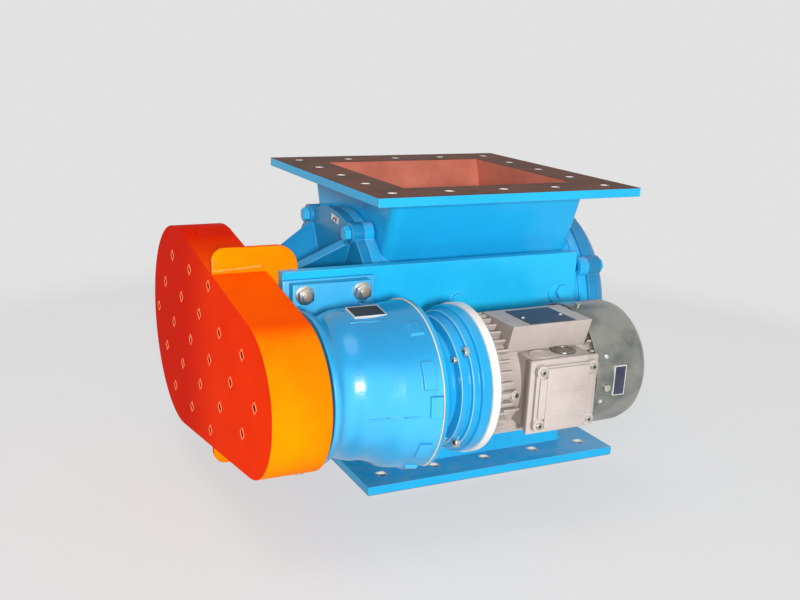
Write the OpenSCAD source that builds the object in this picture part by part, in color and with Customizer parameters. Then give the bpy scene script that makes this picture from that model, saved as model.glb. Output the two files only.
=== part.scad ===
// Rotary airlock valve, side mounted gear motor and guarded chain drive.
// Millimetres. X runs along the rotor towards the fan end, -Y is the drive
// side, +Z is up. The origin is the centre of the outlet flange's lower face.

/* [Valve body] */
// Height between the outer faces of both square flanges
valve_h = 400; // [380:2:430]
// Width of the square inlet and outlet flanges
flange_w = 400; // [380:2:430]
// Thickness of the square flanges
flange_t = 12; // [10:0.5:16]
// Width of the square inlet and outlet openings
throat_open = 264; // [230:2:266]
// Outer width of the neck under each flange
throat_w = 300; // [296:1:306]
// Depth of the neck where it meets the round body
throat_low = 224; // [210:2:236]
// Rounding of the neck's upright corners
throat_round = 16; // [6:1:24]
// Holes along each side of a flange
flange_holes = 5; // [3:1:6]
// Distance between the outermost flange holes
flange_hole_span = 330; // [326:1:340]
// Diameter of the flange holes
flange_hole_d = 14; // [9:0.5:18]
// Bore that the rotor turns in
bore_d = 260; // [240:1:264]
// Outer diameter of the round body
body_d = 300; // [294:1:304]
// Length of the round body between the end covers
body_len = 334; // [326:1:350]
// Diameter of the body's end flanges
end_flange_d = 308; // [305:1:314]
// Thickness of the body's end flanges
end_flange_t = 14; // [10:1:16]
// Height of the pads that carry the drive plate, above the body
pad_h = 18; // [12:1:24]
// Diameter of those pads
pad_d = 44; // [36:1:54]

/* [End covers] */
// Diameter of the circle of end cover screws
cover_pcd = 304; // [300:1:308]
// Screws in each end cover
cover_screws = 6; // [4:1:8]
// Radius of the ears round the end cover screws
ear_r = 15; // [13:0.5:18]
// Thickness of the drive end cover's plate
cover_t = 14; // [10:0.5:18]
// Length of the drive end cover from plate to hub face
hub_len = 148; // [130:1:156]
// Outer diameter of the drive end hub at its face
hub_d = 120; // [112:1:136]
// Ribs on the drive end cover
cover_ribs = 6; // [4:1:8]
// Thickness of those ribs
rib_t = 12; // [8:0.5:16]
// Depth that each cover's spigot reaches into the bore
spigot_len = 16; // [8:1:20]
// Thickness of the outboard cover's bolting ring
out_ring_t = 20; // [14:1:26]
// Depth of the outboard cover's domed part beyond the ring
out_dome = 20; // [16:1:34]
// Length of the outboard bearing hub beyond the dome
out_hub_len = 26; // [22:1:34]

/* [Rotor] */
// Vanes on the rotor
vanes = 8; // [4:1:12]
// Thickness of each vane
vane_t = 7; // [4:0.5:10]
// Diameter of the rotor's centre tube
rotor_tube_d = 96; // [80:1:130]
// Gap between vane tips and bore
tip_gap = 0.4; // [0.3:0.05:0.8]
// Gap between rotor ends and covers
end_gap = 0.5; // [0.4:0.05:1]
// Diameter of the rotor shaft
shaft_d = 50; // [44:1:56]

/* [Chain drive] */
// Pitch of the roller chain
chain_pitch = 15.875; // [15.5:0.005:16.5]
// Teeth on the rotor's sprocket
driven_teeth = 38; // [34:1:40]
// Teeth on the gear unit's sprocket
drive_teeth = 18; // [15:1:21]
// Roller diameter of the chain
roller_d = 10.16; // [9.5:0.01:10.3]
// Width between the chain's inner plates
chain_w = 9.65; // [9:0.05:10]
// Height of the chain's plates
link_h = 13.6; // [12:0.1:14.5]
// Thickness of the chain's plates
link_t = 1.6; // [1.2:0.05:2]
// Thickness of the sprocket teeth
tooth_t = 8.9; // [8:0.1:8.95]
// Wanted distance between rotor shaft and drive shaft
centre_dist = 298; // [290:1:312]
// Distance that the drive shaft lies below the rotor shaft
drive_drop = 6; // [0:1:16]

/* [Guard] */
// Radius of the guard round the rotor's sprocket
guard_r1 = 137; // [130:1:145]
// Radius of the guard round the gear unit's sprocket
guard_r2 = 90; // [84:1:96]
// Distance that the guard's small end sits above the drive shaft
guard_lift = 4; // [0:1:8]
// Depth of the guard along the shafts
guard_depth = 69; // [60:1:76]
// Thickness of the guard's sheet
guard_t = 2.5; // [1.5:0.25:4]
// Gap between the hub face and the guard's back plate
guard_gap = 19; // [12:1:26]
// Distance between guard holes along a row
guard_hole_pitch = 88; // [70:1:100]
// Distance between rows of guard holes
guard_row_pitch = 47; // [40:1:55]
// Width across each square guard hole
guard_hole = 9; // [5:0.5:14]
// Length of the straps that carry the guard
strap_len = 115; // [112:1:122]
// Height that each strap stands above the rim
strap_h = 30; // [22:1:36]
// Height that the lower strap stands below the rim
strap_low_h = 23; // [20:1:32]
// Thickness of the straps
strap_t = 6; // [4:0.5:8]

/* [Drive plate] */
// Thickness of the plate between valve and gear unit
plate_t = 15; // [10:0.5:20]
// Length of that plate along the shaft
plate_len = 434; // [430:1:450]
// Height of that plate
plate_h = 230; // [222:1:240]
// Height of the plate's upper edge above the rotor's middle
plate_up = 111; // [108:1:116]
// Distance from the rotor's middle to the plate's fan side end
plate_end = 116; // [114:1:130]
// Upright distance between the plate's screws
plate_screw_v = 116; // [90:1:124]
// Distance between the plate's screws along the shaft
plate_screw_h = 166; // [150:1:170]
// Distance from the rotor's middle to the fan side screws
plate_screw_x = 92; // [84:1:94]

/* [Gear unit] */
// Gap between the guard's back plate and the gear case
case_gap = 5; // [3:0.5:8]
// Radius of the gear case
case_r = 103; // [102:0.5:106]
// Wall of the gear case
case_wall = 6.5; // [5:0.25:7]
// Length of the gear case with its rim
case_len = 124; // [120:1:128]
// Radius of the gear case's rear rim
rim_r = 107.5; // [107:0.5:110]
// Thickness of the gear case's feet
foot_t = 20; // [14:1:24]
// Length of the gear case's feet along the shaft
foot_len = 115; // [106:1:120]
// Height of the gear case's feet
foot_h = 214; // [210:1:216]
// Upright distance between foot bolts
foot_bolt_v = 184; // [176:1:188]
// Distance between foot bolts along the shaft
foot_bolt_h = 76; // [66:1:84]
// Distance between the main shafts and the layshaft
lay_offset = 50; // [48:0.5:51]
// Teeth on the motor pinion
pinion1 = 18; // [17:1:20]
// Teeth on the layshaft wheel
wheel1 = 82; // [78:1:86]
// Teeth on the layshaft pinion
pinion2 = 18; // [17:1:20]
// Teeth on the output wheel
wheel2 = 62; // [58:1:66]
// Face width of the first gear pair
face1 = 12; // [8:0.5:14]
// Face width of the second gear pair
face2 = 20; // [14:0.5:22]
// Diameter of the output shaft
out_shaft_d = 30; // [26:1:34]

/* [Motor] */
// Radius of the motor's drive end flange
motor_flange_r = 92; // [88:0.5:96]
// Radius of the motor frame without fins
frame_r = 66; // [62:0.5:68]
// Radius over the fins
fin_r = 76; // [72:0.5:78]
// Length of the finned frame
frame_len = 140; // [134:1:150]
// Thickness of each cooling fin
fin_t = 2.6; // [2:0.1:3.4]
// Fins round the frame
fin_count = 36; // [24:1:44]
// Radius of the fan cowl
cowl_r = 79; // [78:0.5:84]
// Length of the fan cowl
cowl_len = 84; // [76:1:92]
// Wall of the fan cowl
cowl_wall = 2; // [1.5:0.25:3]
// Diameter of the motor shaft
motor_shaft_d = 19; // [17:1:20]
// Width of the terminal box along the shaft
box_w = 84; // [76:1:92]
// Height of the terminal box
box_h = 84; // [76:1:90]
// Distance that the terminal box's lid stands off the frame
box_d = 37; // [34:1:46]
// Length of the adapter between gear case and motor
adapter_len = 69; // [66:1:74]
// Radius of the adapter's motor flange
adapter_r = 90; // [88:0.5:91]

/* [Fits and fasteners] */
// Radial running clearance of shafts in bearings and rings
run_fit = 0.05; // [0.02:0.01:0.1]
// Gap between a fixed round piece and its seat
seat_fit = 0.1; // [0.05:0.01:0.2]
// Thread diameter of cover and plate screws
screw_d = 12; // [10:1:14]
// Thread diameter of the gear unit's foot bolts
foot_bolt_d = 10; // [8:1:12]
// Gap round a bolt's shank in its hole
bolt_fit = 0.5; // [0.3:0.1:1]

/* [Hidden] */
$fn = 64;
rotor_z = valve_h / 2;
// heights, as shares of the radii, at which the necks run into the round body
neck_root = 0.6;
bore_r = bore_d / 2;
body_r = body_d / 2;
half_len = body_len / 2;
end_r = end_flange_d / 2;
// gaps between ears and drive plate, and between drive plate and gear case
ear_gap = 1;
rim_gap = 4;
// half width over the end flange's ears, clear of the line through the corner bolt holes
ear_flat = min(end_r + 9, flange_hole_span / 2 - 2);
shaft_r = shaft_d / 2;
hub_x = -half_len - hub_len;
// chain geometry: pitch radii, even link count, exact shaft distance
pitch_r1 = chain_pitch / (2 * sin(180 / driven_teeth));
pitch_r2 = chain_pitch / (2 * sin(180 / drive_teeth));
function wrap(c) = asin((pitch_r1 - pitch_r2) / c);
function span(c) = c * cos(wrap(c));
function arc1(c) = (180 + 2 * wrap(c)) / 360 * driven_teeth * chain_pitch;
function arc2(c) = (180 - 2 * wrap(c)) / 360 * drive_teeth * chain_pitch;
function loop_len(c) = 2 * span(c) + arc1(c) + arc2(c);
// the plate clears the body's pads and the end cover ears, and the gear case clears the plate
plate_off = max(body_r + pad_h, cover_pcd / 2 + ear_r + ear_gap);
centre_min = plate_off + plate_t + rim_r + rim_gap;
links = 2 * max(round(loop_len(centre_dist) / chain_pitch / 2), ceil(loop_len(centre_min) / chain_pitch / 2));
function solve_c(lo, hi, n) =
    n == 0 ? (lo + hi) / 2 :
    let (m = (lo + hi) / 2)
    loop_len(m) > links * chain_pitch ? solve_c(lo, m, n - 1) : solve_c(m, hi, n - 1);
shaft_dist = solve_c(centre_dist - 40, centre_dist + 40, 40);
drive_y = -sqrt(shaft_dist * shaft_dist - drive_drop * drive_drop);
drive_z = rotor_z - drive_drop;
chain_tilt = atan2(drive_z - rotor_z, drive_y);
chain_wrap = wrap(shaft_dist);
chain_span = span(shaft_dist);
roller_r = roller_d / 2;
// stations along the shafts
guard_x1 = hub_x - guard_gap;
guard_x0 = guard_x1 - guard_depth;
sprocket_x = (guard_x0 + guard_x1) / 2;
case_x0 = guard_x1 + case_gap;
case_x1 = case_x0 + case_len;
adapter_x1 = case_x1 + adapter_len;
shield_flange_t = 11;
shield_len = 18;
frame_x0 = adapter_x1 + shield_len;
frame_x1 = frame_x0 + frame_len;
rear_shield_t = 12;
cowl_x0 = frame_x1 - 3;
cowl_x1 = cowl_x0 + cowl_len;
// drive plate
plate_y1 = -plate_off;
plate_y0 = plate_y1 - plate_t;
plate_x0 = plate_end - plate_len;
plate_z1 = rotor_z + plate_up;
plate_z0 = plate_z1 - plate_h;
foot_x = case_x0 + 13 + foot_len / 2;
foot_y0 = plate_y0 - foot_t;
strap_x0 = guard_x0 + 5;
strap_x1 = strap_x0 + strap_len;
// rotor
rotor_half = half_len - spigot_len - end_gap;
vane_r = bore_r - tip_gap;
tube_r = rotor_tube_d / 2;
shaft_x0 = sprocket_x - 18;
out_end = half_len + out_ring_t + out_dome + out_hub_len;
shaft_x1 = out_end - 6;
// rotor bearings
brg_r = shaft_r + 20;
brg_w = 20;
ball_r = 6.5;
brg_pitch_r = shaft_r + 10;
brg_x0 = hub_x + 24;
brg_x1 = out_end - 28;
seal_r = shaft_r + 11;
throat_gap = 0.8;
// gear train stations, measured from the case nose
seal_w = 7;
out_r = out_shaft_d / 2;
out_brg_r = out_r + 16;
out_brg_w = 16;
brg_a = 8;
brg_b = 32;
wheel2_x = 52;
wheel1_x = wheel2_x + face2 + 8;
lay_brg_r = 16;
lay_brg_w = 9;
lay_r = 7.5;
lay_brg_a = 31;
lay_brg_b = wheel1_x + face1 + 8;
mod1 = 2 * lay_offset / (pinion1 + wheel1);
mod2 = 2 * lay_offset / (pinion2 + wheel2);
backlash = 0.22;
pressure = 20;
motor_r = motor_shaft_d / 2;
motor_brg_r = motor_r + 14;
motor_brg_w = 14;
core_len = 86;
core_r = frame_r - 8;
core_x = (frame_x0 + frame_x1) / 2 - core_len / 2;
rotor_core_r = core_r - 22;
box_x = frame_x0 + 78;
box_z = drive_z - 1;
box_z0 = box_z - box_h / 2;
box_z1 = box_z + box_h / 2;
lid_y = drive_y - frame_r - box_d;
lid_t = 8;
ped_top = drive_z + fin_r + 2;
guard_c2 = [drive_y, drive_z + guard_lift];

blue = [0.13, 0.50, 0.77];
orange = [0.95, 0.33, 0.02];
silver = [0.70, 0.66, 0.62];
steel = [0.60, 0.60, 0.60];

// ---- helpers ----------------------------------------------------------
// solid of revolution about X from [radius, x] points
module turn(pts) rotate([0, 90, 0]) rotate_extrude() polygon(pts);
// cylinder along X
module xrod(r, x0, x1) translate([x0, 0, 0]) rotate([0, 90, 0]) cylinder(r = r, h = x1 - x0);
// ring along X
module xring(ro, ri, x0, x1) difference() {
    xrod(ro, x0, x1);
    xrod(ri, x0 - 1, x1 + 1);
}
// outline in Y and Z pushed along X
module xslab(x0, x1) translate([x0, 0, 0]) rotate([90, 0, 90]) linear_extrude(x1 - x0) children();
module at_rotor() translate([0, 0, rotor_z]) children();
module at_drive() translate([0, drive_y, drive_z]) children();
module at_lay() translate([0, drive_y, drive_z - lay_offset]) children();
module block(lo, hi) translate(lo) cube(hi - lo);
// hexagon head screw, head face at the origin, shank along +Z
module hex_screw(d, len, head) {
    translate([0, 0, -head]) cylinder(d = 1.75 * d, h = head, $fn = 6);
    cylinder(d = d, h = len);
}
// places children on a circle in the Y-Z plane, angle from +Y towards +Z
module ring_at(n, r, a0 = 0) for (i = [0:n - 1])
    rotate([a0 + i * 360 / n, 0, 0]) translate([0, r, 0]) children();

// ---- valve body -------------------------------------------------------
module neck_block(w_out, low, z_low, z_top) {
    h = w_out / 2 - throat_round;
    l = low / 2 - throat_round;
    hull() {
        for (sx = [-1, 1], sy = [-1, 1]) {
            translate([sx * h, sy * h, z_top - 1]) cylinder(r = throat_round, h = 1, $fn = 32);
            translate([sx * h, sy * l, z_low]) cylinder(r = throat_round, h = 1, $fn = 32);
        }
    }
}
module neck_hole() {
    h = throat_open / 2;
    l = h * (throat_low - (throat_w - throat_open)) / throat_open;
    translate([-h, 0, 0]) rotate([90, 0, 90]) linear_extrude(throat_open)
        polygon([[-h, valve_h + 1], [h, valve_h + 1],
            [l, rotor_z + bore_r * neck_root],
            [-l, rotor_z + bore_r * neck_root]]);
}
module flange_holes() {
    p = flange_hole_span / (flange_holes - 1);
    for (i = [0:flange_holes - 1], j = [0:flange_holes - 1])
        if (i == 0 || j == 0 || i == flange_holes - 1 || j == flange_holes - 1)
            translate([-flange_hole_span / 2 + i * p, -flange_hole_span / 2 + j * p, -1])
                cylinder(d = flange_hole_d, h = flange_t + 2);
}
module ears(n, a0, x0, x1) ring_at(n, cover_pcd / 2, a0) xrod(ear_r, x0, x1);
// round end flange and its ears in one outline, ears from angle a0 on, faced flat to clear corner bolts
module end_flange(x, a0) xslab(x, x + end_flange_t) intersection() {
    union() {
        circle(r = end_r);
        for (i = [0:cover_screws - 1]) rotate(a0 + i * 360 / cover_screws)
            translate([cover_pcd / 2, 0]) circle(r = ear_r);
    }
    square([2 * ear_flat, valve_h], center = true);
}
module plate_screw_at() for (i = [0, 1], j = [-1, 1])
    translate([plate_screw_x - i * plate_screw_h, 0, rotor_z + j * plate_screw_v / 2]) children();
module valve_housing() color(blue) difference() {
    union() {
        at_rotor() xrod(body_r, -half_len, half_len);
        at_rotor() end_flange(-half_len, 0);
        at_rotor() end_flange(half_len - end_flange_t, 180 / cover_screws);
        neck_block(throat_w, throat_low, rotor_z + body_r * neck_root, valve_h - flange_t / 2);
        translate([0, 0, valve_h]) mirror([0, 0, 1])
            neck_block(throat_w, throat_low, rotor_z + body_r * neck_root, valve_h - flange_t / 2);
        translate([-flange_w / 2, -flange_w / 2, valve_h - flange_t]) cube([flange_w, flange_w, flange_t]);
        translate([-flange_w / 2, -flange_w / 2, 0]) cube([flange_w, flange_w, flange_t]);
        plate_screw_at() translate([0, plate_y1, 0]) rotate([-90, 0, 0])
            cylinder(d = pad_d, h = plate_off - bore_r * neck_root);
    }
    at_rotor() xrod(bore_r, -half_len - 1, half_len + 1);
    neck_hole();
    translate([0, 0, valve_h]) mirror([0, 0, 1]) neck_hole();
    flange_holes();
    translate([0, 0, valve_h - flange_t]) flange_holes();
    at_rotor() ring_at(cover_screws, cover_pcd / 2)
        xrod(screw_d / 2 + bolt_fit, -half_len - 1, -half_len + end_flange_t + 1);
    at_rotor() ring_at(cover_screws, cover_pcd / 2, 180 / cover_screws)
        xrod(screw_d / 2 + bolt_fit, half_len - end_flange_t - 1, half_len + 1);
    plate_screw_at() translate([0, plate_y1 - 1, 0]) rotate([-90, 0, 0])
        cylinder(d = screw_d + 2 * bolt_fit, h = 26);
}

// ---- end covers -------------------------------------------------------
// outlines run outwards from the body's end face
module drive_end_cover() color(blue) at_rotor() mirror([1, 0, 0]) translate([half_len, 0, 0])
    difference() {
        union() {
            turn([[shaft_r + throat_gap, -spigot_len], [bore_r - seat_fit, -spigot_len],
                [bore_r - seat_fit, 0], [end_r, 0], [end_r, cover_t], [hub_d / 2 + 12, cover_t],
                [hub_d / 2, hub_len * 0.45], [hub_d / 2, hub_len], [brg_r + seat_fit, hub_len],
                [brg_r + seat_fit, hub_len - 24], [seal_r + seat_fit, hub_len - 24],
                [seal_r + seat_fit, -spigot_len + 8], [shaft_r + throat_gap, -spigot_len + 8]]);
            ears(cover_screws, 0, 0, cover_t + 4);
            for (i = [0:cover_ribs - 1]) rotate([i * 360 / cover_ribs, 0, 0])
                translate([0, 0, -rib_t / 2]) linear_extrude(rib_t)
                    polygon([[cover_t - 1, hub_d / 2 - 6], [cover_t - 1, cover_pcd / 2 - ear_r],
                        [cover_t + 8, cover_pcd / 2 - ear_r], [hub_len - 8, hub_d / 2 + 1],
                        [hub_len - 8, hub_d / 2 - 6]]);
        }
        ring_at(cover_screws, cover_pcd / 2) xrod(screw_d / 2 + bolt_fit, -1, cover_t + 6);
        cap_holes(hub_len - 14, hub_len + 1);
    }
// height of the screw ears above the bolting ring, and depth of their spot faces
ear_up = 2;
spot_face = 0.5;
module outboard_cover() color(blue) at_rotor() translate([half_len, 0, 0]) {
    d0 = out_ring_t;
    d1 = out_ring_t + out_dome;
    d2 = d1 + out_hub_len;
    difference() {
        union() {
            turn([[shaft_r + throat_gap, -spigot_len], [bore_r - seat_fit, -spigot_len],
                [bore_r - seat_fit, 0], [end_r + 4, 0], [end_r + 4, d0 - 3], [end_r + 1, d0],
                [end_r - 5, d0], [end_r - 7, d0 + out_dome * 0.45], [end_r - 13, d0 + out_dome * 0.8],
                [end_r - 24, d1], [hub_d / 2 + 4, d1], [hub_d / 2, d1 + 6], [hub_d / 2, d2],
                [brg_r + seat_fit, d2], [brg_r + seat_fit, d2 - 28], [seal_r + seat_fit, d2 - 28],
                [seal_r + seat_fit, -spigot_len + 8], [shaft_r + throat_gap, -spigot_len + 8]]);
            ears(cover_screws, 180 / cover_screws, 0, d0 + ear_up);
        }
        // spot faces under the screw heads
        ring_at(cover_screws, cover_pcd / 2, 180 / cover_screws) xrod(screw_d / 2 + bolt_fit, -1, d0 + ear_up + 1);
        ring_at(cover_screws, cover_pcd / 2, 180 / cover_screws) xrod(ear_r - 2, d0 + ear_up - spot_face, d1 + 1);
        cap_holes(d2 - 14, d2 + 1);
    }
}
module cover_screws() color(blue) at_rotor() {
    ring_at(cover_screws, cover_pcd / 2) translate([-half_len - cover_t - 4, 0, 0])
        rotate([0, 90, 0]) hex_screw(screw_d, cover_t + end_flange_t, 0.63 * screw_d);
    ring_at(cover_screws, cover_pcd / 2, 180 / cover_screws)
        translate([half_len + out_ring_t + ear_up - spot_face, 0, 0])
        rotate([0, -90, 0]) hex_screw(screw_d, out_ring_t + end_flange_t - 4, 0.63 * screw_d);
}
// ball bearing rings with a ball groove
module outer_ring(x) at_rotor() difference() {
    xring(brg_r, brg_pitch_r + 2.5, x, x + brg_w);
    translate([x + brg_w / 2, 0, 0]) rotate([0, 90, 0]) rotate_extrude()
        translate([brg_pitch_r, 0]) circle(r = ball_r + 0.3);
}
module bearing_outer_rings() color(steel) {
    outer_ring(brg_x0 - brg_w);
    outer_ring(brg_x1);
}
module inner_ring(x) at_rotor() difference() {
    xring(brg_pitch_r - 2.5, shaft_r + run_fit, x, x + brg_w);
    translate([x + brg_w / 2, 0, 0]) rotate([0, 90, 0]) rotate_extrude()
        translate([brg_pitch_r, 0]) circle(r = ball_r + 0.3);
}
module bearing_inner_rings() color(steel) {
    inner_ring(brg_x0 - brg_w);
    inner_ring(brg_x1);
}
module bearing_balls() color("silver") for (x = [brg_x0 - brg_w, brg_x1])
    at_rotor() translate([x + brg_w / 2, 0, 0]) ring_at(12, brg_pitch_r) sphere(r = ball_r, $fn = 32);
cap_screw_d = 6;
cap_screw_r = brg_r + 7.5;
cap_r = brg_r + 13;
cap_t = 5;
module cap_holes(x0, x1) ring_at(4, cap_screw_r, 45) xrod(cap_screw_d / 2 + bolt_fit, x0, x1);
module bearing_caps() color(blue) at_rotor() {
    // open cap at the drive end, its lip holds the bearing
    difference() {
        turn([[shaft_r + 1, hub_x - cap_t], [cap_r, hub_x - cap_t], [cap_r, hub_x], [brg_r, hub_x],
            [brg_r, hub_x + 3.5], [brg_pitch_r + 4, hub_x + 3.5], [brg_pitch_r + 4, hub_x],
            [shaft_r + 1, hub_x]]);
        cap_holes(hub_x - cap_t - 1, hub_x + 1);
    }
    // closed cap at the outboard end
    difference() {
        turn([[0, out_end + cap_t + 1], [cap_r - 3, out_end + cap_t + 1], [cap_r, out_end + cap_t - 2],
            [cap_r, out_end], [brg_r, out_end], [brg_r, out_end - 7.5], [brg_pitch_r + 4, out_end - 7.5],
            [brg_pitch_r + 4, out_end], [0, out_end]]);
        cap_holes(out_end - 1, out_end + cap_t + 2);
    }
}
module cap_screws() color(blue) at_rotor() {
    d = cap_screw_d;
    ring_at(4, cap_screw_r, 45) translate([hub_x - cap_t, 0, 0]) rotate([0, 90, 0]) hex_screw(d, cap_t + 10, 4);
    ring_at(4, cap_screw_r, 45) translate([out_end + cap_t + 1, 0, 0]) rotate([0, -90, 0])
        hex_screw(d, cap_t + 10, 4);
}
module shaft_seals() color("#3a3a3a") at_rotor() for (m = [0, 1]) mirror([m, 0, 0]) {
    xring(seal_r, shaft_r + run_fit, half_len - spigot_len + 8.2, half_len + 14);
    xring(seal_r, shaft_r + 0.5, half_len + 14.2, half_len + 24);
}

// ---- rotor ------------------------------------------------------------
key_w = 14;
key_h = 9;
module rotor_shaft() color(steel) at_rotor() difference() {
    turn([[0, shaft_x0], [shaft_r - 1.5, shaft_x0], [shaft_r, shaft_x0 + 1.5],
        [shaft_r, shaft_x1 - 1.5], [shaft_r - 1.5, shaft_x1], [0, shaft_x1]]);
    translate([sprocket_x - 16, -key_w / 2, shaft_r - key_h * 0.6]) cube([32, key_w, key_h]);
}
module driven_key() color(steel) at_rotor()
    translate([sprocket_x - 15.5, -key_w / 2 + 0.05, shaft_r - key_h * 0.6 + 0.05]) cube([31, key_w - 0.1, key_h - 0.1]);
module rotor_vanes() color("#8d8d8a") at_rotor() xslab(-rotor_half, rotor_half) difference() {
    intersection() {
        circle(r = vane_r);
        union() {
            circle(r = tube_r);
            for (i = [0:vanes - 1]) rotate(90 + i * 360 / vanes) polygon([
                [tube_r - 4, -vane_t / 2], [vane_r + 2, -vane_t / 2],
                [vane_r + 2, -vane_t / 2 + 3], [vane_r - 5, vane_t / 2], [tube_r - 4, vane_t / 2]]);
        }
    }
    circle(r = shaft_r + run_fit);
}

// ---- chain drive ------------------------------------------------------
// local frame of the chain: origin on the rotor axis, x towards the drive shaft
module chain_frame() at_rotor() rotate([chain_tilt, 0, 0]) children();
// centre of a roller, s is the distance along the loop
function chain_pt(s) =
    let (b = 90 - chain_wrap, l2 = arc2(shaft_dist), d = [sin(b), -cos(b)])
    s < chain_span ? pitch_r1 * [cos(b), sin(b)] + s * [sin(b), -cos(b)] :
    s < chain_span + l2 ?
        let (a = b - (s - chain_span) / (drive_teeth * chain_pitch) * 360)
        [shaft_dist, 0] + pitch_r2 * [cos(a), sin(a)] :
    s < 2 * chain_span + l2 ?
        [shaft_dist, 0] + pitch_r2 * [cos(-b), sin(-b)] - (s - chain_span - l2) * [sin(b), cos(b)] :
        let (a = -b - (s - 2 * chain_span - l2) / (driven_teeth * chain_pitch) * 360)
        pitch_r1 * [cos(a), sin(a)];
function roller(i) = chain_pt((i % links) * chain_pitch);
module link_outline(i) {
    p = roller(i);
    q = roller(i + 1);
    v = q - p;
    translate(p) circle(d = link_h);
    translate(q) circle(d = link_h);
    translate(p) rotate(atan2(v[1], v[0])) translate([0, -link_h * 0.4]) square([norm(v), link_h * 0.8]);
}
module plates(i0, x) for (x0 = [x, -x - link_t]) xslab(sprocket_x + x0, sprocket_x + x0 + link_t)
    for (i = [i0:2:links - 1]) link_outline(i);
module roller_chain() color("#5a5652") chain_frame() {
    plates(0, chain_w / 2);
    plates(1, chain_w / 2 + link_t);
    xslab(sprocket_x - chain_w / 2, sprocket_x + chain_w / 2)
        for (i = [0:links - 1]) translate(roller(i)) circle(r = roller_r);
    pin_x = chain_w / 2 + 2 * link_t + 1;
    xslab(sprocket_x - pin_x, sprocket_x + pin_x)
        for (i = [0:links - 1]) translate(roller(i)) circle(r = roller_r / 2);
}
// toothed plate, a0 is the angle of one tooth gap
module sprocket_plate(n, pr, a0) difference() {
    circle(r = pr + roller_r * 0.75);
    for (i = [0:n - 1]) rotate(a0 + i * 360 / n) {
        translate([pr, 0]) circle(r = roller_r + 0.15);
        // the gaps open wider on a small sprocket, where the chain leaves at a steeper angle
        flare = roller_r * (1.28 + 3.4 / n);
        polygon([[pr, -roller_r - 0.15], [pr + roller_r, -flare], [pr + roller_r, flare],
            [pr, roller_r + 0.15]]);
    }
}
module driven_sprocket() color(steel) {
    web_r = pitch_r1 * 0.62;
    difference() {
        union() {
            chain_frame() xslab(sprocket_x - tooth_t / 2, sprocket_x + tooth_t / 2)
                sprocket_plate(driven_teeth, pitch_r1, 90 - chain_wrap);
            at_rotor() xrod(shaft_r + 17, sprocket_x - 14, sprocket_x + 14);
        }
        at_rotor() xrod(shaft_r + run_fit, sprocket_x - 20, sprocket_x + 20);
        at_rotor() ring_at(5, web_r + 4, 36) xrod(12, sprocket_x - 20, sprocket_x + 20);
        at_rotor() translate([sprocket_x - 20, -key_w / 2 - 0.05, 0]) cube([40, key_w + 0.1, shaft_r - key_h * 0.6 + key_h + 0.05]);
    }
}
module drive_sprocket() color(steel) difference() {
    union() {
        chain_frame() translate([0, shaft_dist, 0]) xslab(sprocket_x - tooth_t / 2, sprocket_x + tooth_t / 2)
            sprocket_plate(drive_teeth, pitch_r2, 90 - chain_wrap + chain_span / (drive_teeth * chain_pitch) * 360);
        at_drive() xrod(out_r + 12, sprocket_x - 12, sprocket_x + 16);
    }
    at_drive() xrod(out_r + run_fit, sprocket_x - 20, sprocket_x + 20);
}

// ---- guard ------------------------------------------------------------
// outline round both sprockets, grown by g
module guard_outline(g) {
    r1 = guard_r1 + g;
    r2 = guard_r2 + g;
    v = guard_c2 - [0, rotor_z];
    d = norm(v);
    a = atan2(v[1], v[0]);
    w = 90 - asin((r1 - r2) / d);
    translate([0, rotor_z]) circle(r = r1);
    translate(guard_c2) circle(r = r2);
    translate([0, rotor_z]) rotate(a) polygon([
        [r1 * cos(w), r1 * sin(w)], [d + r2 * cos(w), r2 * sin(w)],
        [d + r2 * cos(w), -r2 * sin(w)], [r1 * cos(w), -r1 * sin(w)]]);
}
// the same outline with many sided ends, for the sheet that fits inside the rim
module guard_inner(g) {
    r1 = guard_r1 + g;
    r2 = guard_r2 + g;
    v = guard_c2 - [0, rotor_z];
    d = norm(v);
    a = atan2(v[1], v[0]);
    w = 90 - asin((r1 - r2) / d);
    n = 40;
    translate([0, rotor_z]) rotate(a) polygon(concat(
        [for (i = [0:n]) pol(r1, w + i * (360 - 2 * w) / n)],
        [for (i = [0:n]) [d, 0] + pol(r2, -w + i * 2 * w / n)]));
}
module guard_holes() {
    // rows run level, every second row is shifted by half a pitch
    y0 = 22;
    for (row = [-2:2], k = [-2:5]) {
        y = y0 - k * guard_hole_pitch + (row % 2 == 0 ? 0 : guard_hole_pitch / 2);
        z = row * guard_row_pitch;
        t = min(1, max(0, -y / (-drive_y)));
        room = guard_r1 + (guard_r2 - guard_r1) * t - norm([y - drive_y * t, z]);
        if (room > guard_hole + 9) translate([y, rotor_z + z]) rotate(45) square(guard_hole, center = true);
    }
}
module guard_cover() color(orange) difference() {
    union() {
        xslab(guard_x0, guard_x0 + guard_t) difference() {
            guard_outline(0);
            guard_holes();
        }
        xslab(guard_x0 + guard_t, guard_x1) difference() {
            guard_outline(0);
            guard_outline(-guard_t);
        }
    }
    at_guard_screws() translate([0, 0, -3]) cylinder(d = 6 + 2 * bolt_fit, h = 12);
}
module guard_back() color(orange) difference() {
    union() {
        xslab(guard_x1 - 1 - guard_t, guard_x1 - 1) difference() {
            guard_inner(-guard_t - seat_fit);
            translate([0, rotor_z]) circle(r = shaft_r + 5);
            translate([drive_y, drive_z]) circle(r = out_r + 5);
        }
        xslab(guard_x1 - 1 - guard_t - guard_lip, guard_x1 - 1 - guard_t) difference() {
            guard_inner(-guard_t - seat_fit);
            guard_inner(-2 * guard_t - seat_fit);
        }
    }
    at_guard_screws() translate([0, 0, -3]) cylinder(d = 6 + 2 * bolt_fit, h = 12);
}
strap_y = plate_y1;
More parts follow.
